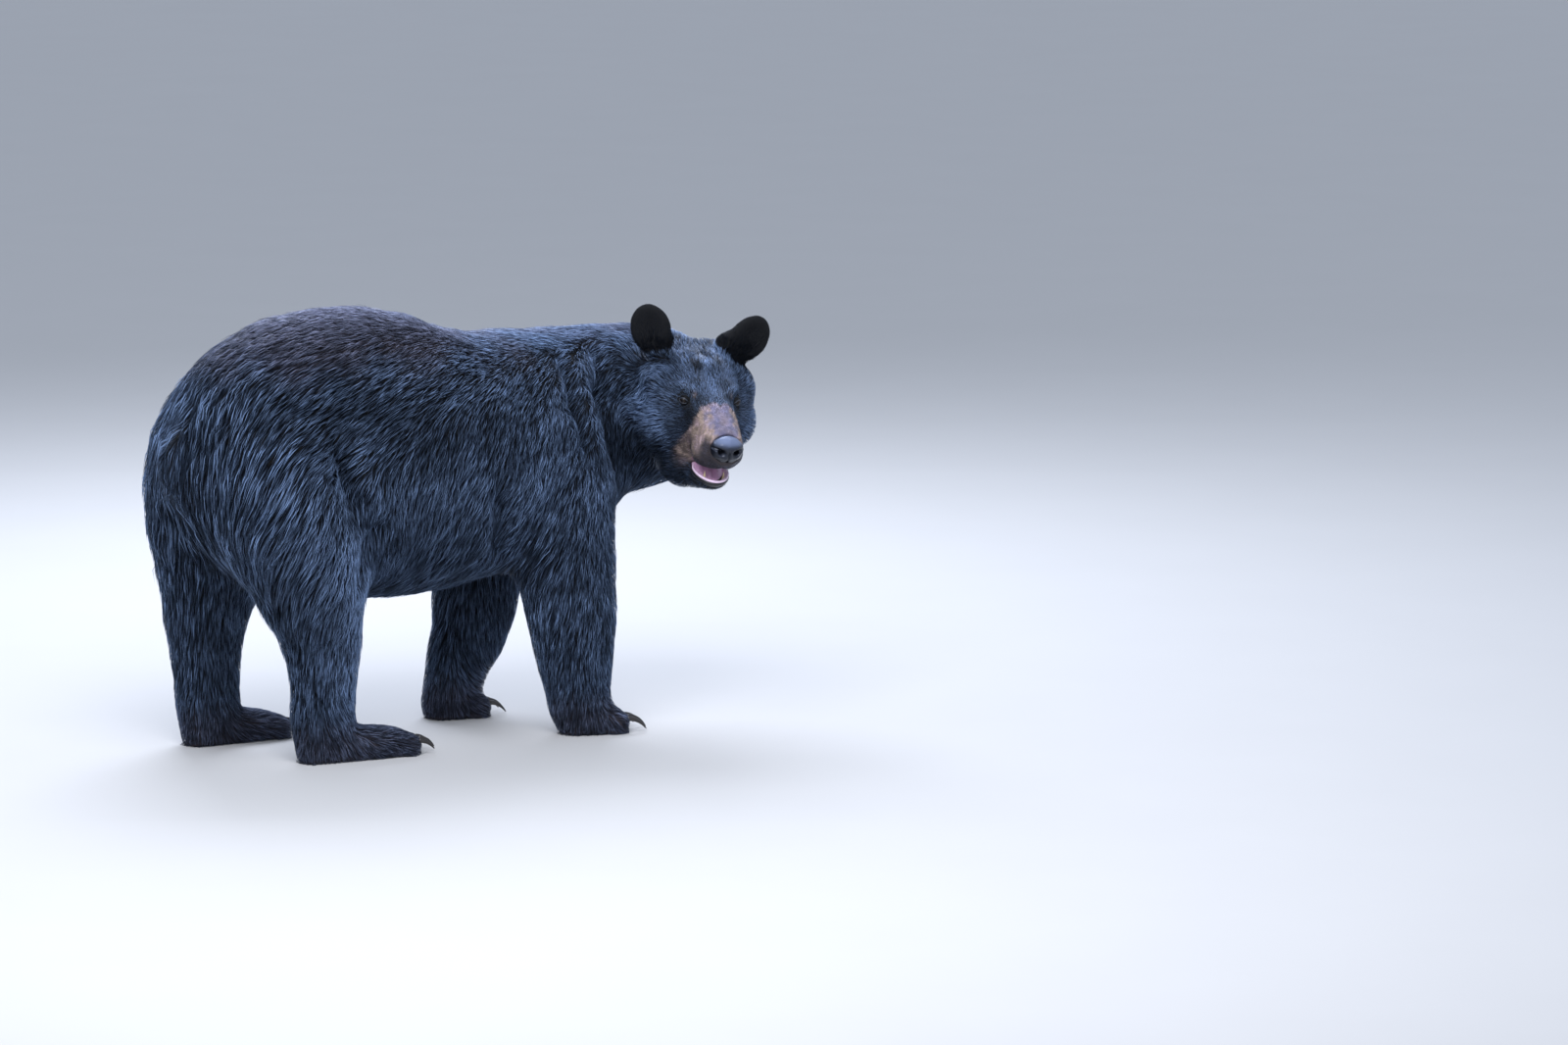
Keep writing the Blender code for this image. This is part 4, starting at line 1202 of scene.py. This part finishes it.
class Coat:
    """The skin's fields, and tufts grown from them."""

    def __init__(self, mesh, crowding):
        self.points = positions(mesh)
        self.facing = normals(mesh)
        self.lie = read_numbers(mesh, "lie")
        self.depth, self.hair, self.pull = read_numbers(mesh, "coat").T
        self.bare = read_numbers(mesh, "bare")
        self.marking = read_numbers(mesh, "marking")
        self.rust = read_numbers(mesh, "rust")
        self.tree = tree_of(self.points)
        corners = np.empty(len(mesh.polygons) * 3, np.int32)
        mesh.loops.foreach_get("vertex_index", corners)
        self.corners = corners.reshape(-1, 3)
        self.crowding = crowding
        self.random = np.random.default_rng(SEED)

    def roots(self):
        """Root points spread over the skin, closer where the hair is short."""
        a, b, c = (self.points[self.corners[:, k]] for k in range(3))
        area = np.linalg.norm(np.cross(b - a, c - a), axis=1) / 2
        spacing = self.spacing(self.hair[self.corners].mean(1))
        bare = self.bare[self.corners].max(1)
        wanted = area / spacing**2 * self.crowding * (bare < 0.5)
        whole = np.floor(wanted + self.random.random(len(wanted))).astype(int)
        face = np.repeat(np.arange(len(whole)), whole)
        u, v = self.random.random((2, len(face)))
        flip = u + v > 1
        u[flip], v[flip] = 1 - u[flip], 1 - v[flip]
        return a[face] + (b - a)[face] * u[:, None] + (c - a)[face] * v[:, None]

    def spacing(self, hair):
        """How far apart roots stand for a length of hair."""
        return ROOT_GAP[0] + ROOT_GAP[1] * hair

    def lines(self, roots, steps, yaw, share, reach):
        """Each tuft's line along the skin and the skin's facing at its points."""
        near = nearest(self.tree, roots)
        path = [roots - self.facing[near] * ROOT_DEPTH]
        up = [self.facing[near]]
        here = roots
        stride = self.hair[near] * reach / steps
        top = self.depth[near] * share
        turn, lift = np.cos(yaw)[:, None], np.sin(yaw)[:, None]
        for k in range(1, steps + 1):
            lie = self.lie[near]
            way = lie * turn + np.cross(self.facing[near], lie) * lift
            here = here + way * stride[:, None]
            near = nearest(self.tree, here)
            facing = self.facing[near]
            here = here - facing * dots(here - self.points[near], facing)
            rise = 1 - (1 - min(k / steps / 0.8, 1.0)) ** 2
            path.append(here + facing * (top * rise)[:, None])
            up.append(facing)
        return np.stack(path, axis=1), np.stack(up, axis=1)

    def grown(self):
        """All tufts as groups of (lines, facings, width, thickness, roots, skin points, tone)."""
        random = self.random
        roots = self.roots()
        total = len(roots)
        near = nearest(self.tree, roots)
        hair, pull = self.hair[near], self.pull[near]
        under = random.random(total) < UNDERCOAT
        lock_size = LOCK_SIZE[0] + LOCK_SIZE[1] * hair
        leader = (random.random(total) < (self.spacing(hair) / lock_size) ** 2) & ~under
        leaders = np.nonzero(leader)[0]
        mine = nearest(tree_of(roots[leaders]), roots)
        lock_yaw = random.normal(0, LOCK_SWAY, len(leaders))
        lock_rise = 1 - (0.05 + 0.25 * pull[leaders]) * random.random(len(leaders))
        lock_tone = random.random(len(leaders))
        yaw = lock_yaw[mine] + random.normal(0, TUFT_SWAY, total)
        share = lock_rise[mine] * (1 - (0.16 + 0.16 * pull) * random.random(total))
        reach = random.uniform(0.75, 1.2, total)
        astray = STRAYS[0] + STRAYS[1] * step(hair, 0.045, 0.065)
        stray = (random.random(total) < astray) & ~under
        share[stray] *= 1.2 + 0.35 * step(hair[stray], 0.03, 0.06)
        reach[stray] *= 1.2
        reach[leaders] = 1.15
        share[leaders] = lock_rise
        yaw[leaders] = lock_yaw
        share[under] *= 0.62
        reach[under] *= 0.75
        # a lock's tufts share part of their tone; long locks differ more, and the undercoat is dark
        shared = 0.05 + 0.50 * pull
        tone = shared * lock_tone[mine] + (1 - shared) * random.random(total)
        tone = 0.5 + (tone - 0.5) * (0.8 + 1.1 * step(pull, 0.3, 0.8))
        tone = tone + 0.06 * ripple(roots, 0.09, SEED + 9) + 0.08 * ripple(roots, 0.022, SEED + 10)
        # painted sheen and painted shade from the forms and stretches, with the worn spots, are
        # added to each tuft's tone
        middles = roots + self.lie[near] * (0.6 * hair)[:, None]
        tone = np.clip(tone + painted_light_and_spots(middles), 0.02, 1.3)
        tone[under] *= 0.66 - 0.32 * step(pull[under], 0.1, 0.5)
        short = (hair < ONE_STEP) | under
        groups = []
        for some, steps in ((np.nonzero(short)[0], 1), (np.nonzero(~short)[0], 2)):
            path, up = self.lines(roots[some], steps, yaw[some], share[some], reach[some])
            owner = leaders[mine[some]]
            head, _ = self.lines(roots[owner], steps, yaw[owner], share[owner], reach[owner])
            for k in range(1, steps + 1):
                weight = (pull[some] * (k / steps) ** 1.2)[:, None]
                path[:, k] += (head[:, k] - path[:, k]) * weight
            width = TUFT_WIDTH[0] + TUFT_WIDTH[1] * hair[some]
            width = width * random.uniform(0.6, 1.3, len(some))
            groups.append((path, up, width, width * FLATNESS, roots[some], near[some], tone[some]))
        return groups


def piece_of(roots):
    """The number of the coat piece that each root belongs to."""
    x, y, z = roots.T
    in_head = into_head(roots)
    belly = (z > 0.29) & (np.abs(x + 0.08) < 0.12)
    leg = (z < LEG_TOP - 0.25 * np.clip(0.12 - np.abs(y - MIDLINE), 0, 1)) & ~belly
    fore, right = x > -0.08, y < MIDLINE
    head = (in_head[:, 0] > -0.075) & (np.abs(in_head[:, 1]) < 0.19)
    head &= (z > 0.48) & (in_head[:, 2] < 0.24)
    ear = np.zeros(len(roots), bool)
    for side, spot in EAR_SPOT.items():
        a, b, c = ((in_head - np.array(spot)) @ np.array(ear_lean(side))).T
        b = b * side
        near = (np.abs(a) < 0.045) & (b > -0.066) & (b < 0.08) & (c < 0.085)
        ear |= near & (c > -0.055 - 0.20 * np.clip(b + 0.03, -0.04, 0.10))
    # a later zone takes over from an earlier one
    zones = (
        ("chest", x < np.inf),
        ("flanks", x < 0.13),
        ("loin", x < -0.09),
        ("rump", x < -0.33),
        ("neck", (x > 0.36) & (z > LEG_TOP - 0.06)),
        ("foreleg_right", leg & fore & right),
        ("foreleg_left", leg & fore & ~right),
        ("hindleg_right", leg & ~fore & right),
        ("hindleg_left", leg & ~fore & ~right),
        ("cheeks", head),
        ("face", head & (in_head[:, 0] > 0.055)),
        ("ears", ear),
    )
    names = list(COAT_PIECES)
    found = np.empty(len(roots), int)
    for name, here in zones:
        found[here] = names.index("coat_" + name)
    return found


def unwrapped(name, roots, facing):
    """Each root's place on an unwrap of the skin round the piece's own axis."""
    centre, axis, slope = COAT_PIECES[name]
    axis = Vector(axis).normalized()
    side = axis.orthogonal().normalized()
    away = roots - np.array(centre)
    a, b, along = (away @ np.array(way) for way in (side, axis.cross(side), axis))
    round_it = np.arctan2(b, a) / (2 * math.pi) + 0.5
    height = along + slope * np.sqrt(a * a + b * b)
    height = (height - height.min()) / max(np.ptp(height), 1e-6)
    if name == "coat_ears":
        # an island each for the front and the back of the left and the right ear
        _, y, z = into_head(roots).T
        aside = np.abs(y)
        ahead = facing @ head_axis(0) > 0
        round_it = (aside - aside.min()) / np.ptp(aside) * 0.45 + np.where(y > 0, 0.5, 0.0)
        height = (z - z.min()) / np.ptp(z) * 0.45 + np.where(ahead, 0.5, 0.0)
    return np.stack([round_it, height], axis=1) * 0.99 + 0.005


class BEAR_OT_coat(bpy.types.Operator):
    """Grows the coat as joined tufts that follow the lie of the hair"""

    bl_idname = "bear.coat"
    bl_label = "Coat"

    def execute(self, context):
        colours = context.scene.bear_coat
        coat = Coat(bpy.data.objects["skin"].data, colours.crowding)
        pieces = {name: [] for name in COAT_PIECES}
        for *strands, roots, near, tone in coat.grown():
            number = piece_of(roots)
            for k, name in enumerate(pieces):
                some = number == k
                if not some.any():
                    continue
                skin = near[some]
                places = unwrapped(name, roots[some], coat.facing[skin])
                made = tuft_mesh(*(values[some] for values in strands), places, tone[some])
                own = len(made[0]) // len(skin)
                marking, rust = (np.repeat(v[skin], own, axis=0) for v in (coat.marking, coat.rust))
                pieces[name].append((*made, marking, rust))
        fur = hair_material("black_guard_hair", colours.black, colours.tip, 0.38, 0.22)
        velvet = hair_material("ear_velvet", colours.velvet, colours.velvet, 0.6, 0.15)
        total = 0
        for name, groups in pieces.items():
            total += self.join(name, groups, velvet if name == "coat_ears" else fur)
        print("COAT triangles", total)
        return {"FINISHED"}

    def join(self, name, groups, material):
        """Makes one object of a piece's tufts and gives its number of triangles."""
        points, quads, quad_map, tris, tri_map, strand, marking, rust = zip(*groups)
        starts = np.cumsum([0, *map(len, points)])
        quads, tris = ([f + start for f, start in zip(faces, starts)] for faces in (quads, tris))
        arrays = map(np.concatenate, (points, quads, quad_map, tris, tri_map))
        mesh = raw_mesh(name, *arrays)
        for field, values in (("strand", strand), ("marking", marking), ("rust", rust)):
            write_numbers(mesh, field, np.concatenate(values))
        finished(new_object(name, mesh), material, "black_fur")
        count = 2 * sum(map(len, quads)) + sum(map(len, tris))
        print("  ", name, count)
        return count


def tube(path, radii, closed=False, sides=12, up=UPRIGHT):
    """A bmesh of a bridged tube of circles along a path; an open one is capped."""
    bm = bmesh.new()
    rings = []
    last = len(path) - 1
    for k, centre in enumerate(path):
        before = path[k - 1] if k or closed else path[k]
        after = path[(k + 1) % len(path)] if k < last or closed else path[k]
        along = (after - before).normalized()
        side = along.cross(up[k] if isinstance(up, list) else up).normalized()
        turn = Matrix((side, side.cross(along), along)).transposed().to_4x4()
        place = Matrix.Translation(centre) @ turn @ Matrix.Diagonal((*radii[k], 1, 1))
        capped = not closed and k in (0, last)
        made = bmesh.ops.create_circle(bm, cap_ends=capped, segments=sides, radius=1, matrix=place)
        rings.append({edge for vert in made["verts"] for edge in vert.link_edges})
    pairs = list(zip(rings, rings[1:]))
    if closed:
        pairs.append((rings[-1], rings[0]))
    for first, second in pairs:
        bmesh.ops.bridge_loops(bm, edges=[*first, *second])
    bmesh.ops.recalc_face_normals(bm, faces=bm.faces)
    return bm


class BEAR_OT_eyes(bpy.types.Operator):
    """Makes the eyeballs with their corneas, and the eyelid rims"""

    bl_idname = "bear.eyes"
    bl_label = "Eyes"

    def execute(self, context):
        face = context.scene.bear_face
        wet = eye_material(face.iris)
        rim = plain_material("eyelid_skin", face.lid, 0.5, (500, 0.7), 0.0, 0.05)
        for side, word in ((1, "left"), (-1, "right")):
            self.eyeball(word, side, face.eye, wet)
            self.lids(word, side, face.eye, rim)
        return {"FINISHED"}

    def eyeball(self, word, side, radius, wet):
        """A ball with a cornea, which knows how far each point is from the gaze."""
        cornea, bulge = CORNEA
        bm = bmesh.new()
        bmesh.ops.create_uvsphere(bm, u_segments=48, v_segments=36, radius=radius)
        for vert in bm.verts:
            vert.co *= 1 + bulge * max(0.0, 1 - (vert.co.angle(UPRIGHT) / cornea) ** 2)
        layer = bm.verts.layers.float.new("off_gaze")
        for vert in bm.verts:
            vert[layer] = vert.co.angle(UPRIGHT) / (math.pi / 2)
        spot, gaze, _, _ = map(Vector, eye_axes(side))
        turn = UPRIGHT.rotation_difference(gaze).to_matrix().to_4x4()
        ball = bm_object("eyeball_" + word, bm, head_place() @ Matrix.Translation(spot) @ turn)
        finished(ball, wet, "eye_brown", "eye_" + word)

    def lids(self, word, side, radius, rim):
        """An almond rim that hugs the eyeball, with a longer inner corner."""
        spot, gaze, across, upward = map(Vector, eye_axes(side))
        wide, high = LID_OPENING
        path, radii = [], []
        count = 48
        for k in range(count):
            turn = 2 * math.pi * k / count
            a, b = math.cos(turn), math.sin(turn)
            inner = a * -side
            out = a * wide * (LID_CORNER if inner > 0 else 1.0)
            over = b * (high if b > 0 else LID_LOW) * abs(b) ** 0.15 - 0.10 * max(inner, 0) ** 2
            flat = (across * out + upward * over) * radius
            depth = max((radius + 0.0002) ** 2 - flat.length_squared, (0.30 * radius) ** 2)
            path.append(spot + flat + gaze * math.sqrt(depth))
            radii.append((0.0012, 0.0011) if b > 0 else (0.0009, 0.0008))
        bm = tube(path, radii, closed=True, sides=10, up=gaze)
        finished(bm_object("eyelids_" + word, bm, head_place()), rim, "nose_leather")


class BEAR_OT_nose(bpy.types.Operator):
    """Makes the nose pad with its nostrils and the groove between them"""

    bl_idname = "bear.nose"
    bl_label = "Nose"

    def execute(self, context):
        nose = bm_object("nose_pad", copies(["nose"], 0.0006))
        modified(
            nose,
            ("REMESH", {"mode": "VOXEL", "voxel_size": 0.0012}),
            ("SMOOTH", {"factor": 0.6, "iterations": 12}),
        )
        p = into_head(positions(nose.data))
        x, y, z = p.T
        groove = np.exp(-((np.abs(y) / 0.0020) ** 2))
        groove = groove * step(-z, 0.010, 0.020) * step(x, 0.232, 0.242)
        p[:, 2] -= 0.0035 * step(z, -0.020, 0.010)
        p[:, 1] *= 1.03
        p[:, 0] -= GROOVE * groove
        # painted shade in the groove, the nostrils and over the lower half of the pad
        painted_shade = 0.6 * groove
        for side in (-1, 1):
            shapes = [(oval(p, (x, side * y, z), reach), deep) for (x, y, z), reach, deep in HOLES]
            for shape, deep in shapes:
                inside = np.exp(-(shape**3))
                p[:, 0] -= deep * inside
                painted_shade = np.maximum(painted_shade, step(inside, 0.25, 0.75))
        # painted shade over the lower half of the pad
        painted_shade = np.maximum(painted_shade, 0.92 * step(-z, -0.002, 0.016))
        write_numbers(nose.data, "painted_shade", painted_shade)
        # painted highlight: a bluish sheen over the top of the pad
        write_numbers(nose.data, "painted_top_sheen", step(z + 0.12 * (x - 0.22), -0.008, 0.008))
        place_points(nose.data, moved(p, head_place()))
        finished(nose, nose_material(context.scene.bear_face.nose), "nose_leather", "nose")
        return {"FINISHED"}


class BEAR_OT_mouth(bpy.types.Operator):
    """Makes the lips, tongue and canine teeth"""

    bl_idname = "bear.mouth"
    bl_label = "Mouth"

    def execute(self, context):
        face = context.scene.bear_face
        pink = plain_material("wet_lip", face.lip, 0.28, (160, 0.85), 0.0, 0.5)
        rim = plain_material("lip_rim", face.rim, 0.4, (400, 0.7), 0.0004, 0.2)
        flesh = plain_material("tongue_flesh", face.tongue, 0.34, (350, 0.75), 0.0005, 0.4)
        enamel = plain_material("tooth_enamel", face.tooth, 0.22, (200, 0.85), 0.0, 0.3)
        self.lip("lip_inner", 0.0022, -0.0722, (0.0088, 0.0036), 44, pink, "tongue_pink")
        self.lip("lip_rim_lower", -0.0032, -0.0742, (0.0024, 0.0038), 0, rim, "nose_leather")
        self.lip("lip_under", 0.0080, -0.0790, (0.0085, 0.0055), 0, rim, "nose_leather")
        tongue = rounded("tongue_top", ["tongue"])
        p = moved(positions(tongue.data), jaw_place().inverted())
        p = (p - TONGUE_FOOT) * TONGUE_GROWTH + TONGUE_FOOT
        p[:, 2] -= 0.0035 * np.exp(-((p[:, 1] / 0.004) ** 2))
        place_points(tongue.data, moved(p, jaw_place()))
        finished(tongue, flesh, "tongue_pink", "tongue")
        for word in ("left", "right"):
            canine = "canine_" + word
            finished(rounded("tooth_" + word, [canine]), enamel, "tooth_ivory", canine)
        return {"FINISHED"}

    def lip(self, name, inset, height, size, tilt, material, slot):
        """A lip round the front of the lower jaw, open towards the throat, leaning inwards."""
        path, ups, radii = [], [], []
        front, back, half, reach = LIP_FRONT, LIP_BACK, LIP_HALF - inset, LIP_REACH - inset
        behind = [(back + (front - back) * k / 8, 0.84 + 0.16 * k / 8) for k in range(8)]
        places = [(*place, -90) for place in behind]
        places += [(front, 1.0, -90 + 180 * k / 32) for k in range(33)]
        places += [(*place, 90) for place in reversed(behind)]
        lean = math.radians(tilt)
        count = len(places) - 1
        for k, (x, spread, turn) in enumerate(places):
            turn = math.radians(turn)
            out = Vector((math.cos(turn), math.sin(turn), 0))
            y = half * math.sin(turn) * spread
            path.append(Vector((x + reach * math.cos(turn), y, height + 0.12 * (front - x))))
            ups.append(UPRIGHT * math.cos(lean) - out * math.sin(lean))
            taper = 0.2 + 0.8 * min(min(k, count - k) / 12, 1.0)
            radii.append((size[0] * taper, size[1] * taper))
        finished(bm_object(name, tube(path, radii, sides=14, up=ups), jaw_place()), material, slot)


class BEAR_OT_claws(bpy.types.Operator):
    """Rounds each foot's claws into curved horn"""

    bl_idname = "bear.claws"
    bl_label = "Claws"

    def execute(self, context):
        horn = claw_material(context.scene.bear_face.claw)
        for foot in ("forepaw_right", "forepaw_left", "hindpaw_right", "hindpaw_left"):
            nodes = [node for node in frame["nodes"] if node.startswith(foot + "_claw_")]
            claws = rounded("claws_" + foot, sorted(nodes), 0.0002)
            finished(claws, horn, "claw_horn", *nodes)
        return {"FINISHED"}


class BEAR_OT_stage(bpy.types.Operator):
    """Lays the pale floor and sets the soft lights and the camera"""

    bl_idname = "bear.stage"
    bl_label = "Stage"

    def execute(self, context):
        stage = context.scene.bear_stage
        self.floor(stage)
        world = bpy.data.worlds.new("studio")
        context.scene.world = world
        world.use_nodes = True
        backdrop = world.node_tree.nodes["Background"]
        plug(world.node_tree, backdrop, {0: rgba(stage.sky), 1: stage.fill})
        self.lamp("key", (-1.6, -2.2, 3.4), stage.key, "#f4f6ff")
        self.lamp("rim", (1.2, 2.4, 3.4), stage.key * 1.15, "#e6edff")
        context.scene.camera = self.camera()
        context.scene.view_settings.view_transform = "Standard"
        return {"FINISHED"}

    def floor(self, stage):
        """Painted studio floor: matt and pale, with a faint unevenness."""
        bm = bmesh.new()
        bmesh.ops.create_grid(bm, x_segments=1, y_segments=1, size=30)
        floor = bm_object("floor", bm)
        material, tree, shader = new_material("pale_floor")
        light = noise(tree, on_object(tree), 3.0, 2, 0.97, 1.0, 0.0, 1.0)
        plug(tree, shader, {"Base Color": shaded(tree, stage.floor, light), "Roughness": 0.9})
        floor.data.materials.append(material)

    def aimed(self, obj, place, way):
        """Sets an object in its place, looking a way."""
        obj.location = place
        obj.rotation_mode = "QUATERNION"
        obj.rotation_quaternion = way.to_track_quat("-Z", "Y")

    def lamp(self, name, place, power, code):
        lamp = bpy.data.lights.new(name, "AREA")
        lamp.energy = power
        lamp.size = LAMP_SIZE
        lamp.color = linear(code)
        self.aimed(new_object(name, lamp), place, Vector((0, 0, 0.45)) - Vector(place))

    def camera(self):
        turn, rise = CAMERA_TURN, CAMERA_RISE
        back = (math.sin(turn) * math.cos(rise), -math.cos(turn) * math.cos(rise), math.sin(rise))
        back = Vector(back)
        lens = bpy.data.cameras.new("camera")
        lens.lens = CAMERA_LENS
        lens.sensor_width = 36.0
        lens.clip_end = 100
        camera = new_object("camera", lens)
        self.aimed(camera, CAMERA_AIM + back * CAMERA_DISTANCE, -back)
        return camera


class BEAR_PT_panel(bpy.types.Panel):
    """The bear's pieces in the order they are made"""

    bl_idname = "BEAR_PT_panel"
    bl_label = "Black bear"
    bl_space_type = "VIEW_3D"
    bl_region_type = "UI"
    bl_category = "Bear"

    def draw(self, context):
        for operator in OPERATORS:
            self.layout.operator(operator.bl_idname)
        for name in SETTINGS:
            box = self.layout.box()
            group = getattr(context.scene, name)
            for key in group.__annotations__:
                box.prop(group, key)


OPERATORS = (
    BEAR_OT_skin,
    BEAR_OT_coat,
    BEAR_OT_eyes,
    BEAR_OT_nose,
    BEAR_OT_mouth,
    BEAR_OT_claws,
    BEAR_OT_stage,
)
SETTINGS = {
    "bear_skin": BearSkin,
    "bear_coat": BearCoat,
    "bear_face": BearFace,
    "bear_stage": BearStage,
}


CLASSES = (*SETTINGS.values(), *OPERATORS, BEAR_PT_panel)


def register():
    for one in CLASSES:
        bpy.utils.register_class(one)
    for name, group in SETTINGS.items():
        setattr(bpy.types.Scene, name, PointerProperty(type=group))


def unregister():
    for name in SETTINGS:
        delattr(bpy.types.Scene, name)
    for one in reversed(CLASSES):
        bpy.utils.unregister_class(one)


def main():
    register()
    bpy.ops.bear.skin()
    bpy.ops.bear.coat()
    bpy.ops.bear.eyes()
    bpy.ops.bear.nose()
    bpy.ops.bear.mouth()
    bpy.ops.bear.claws()
    bpy.ops.bear.stage()


if __name__ == "__main__":
    main()
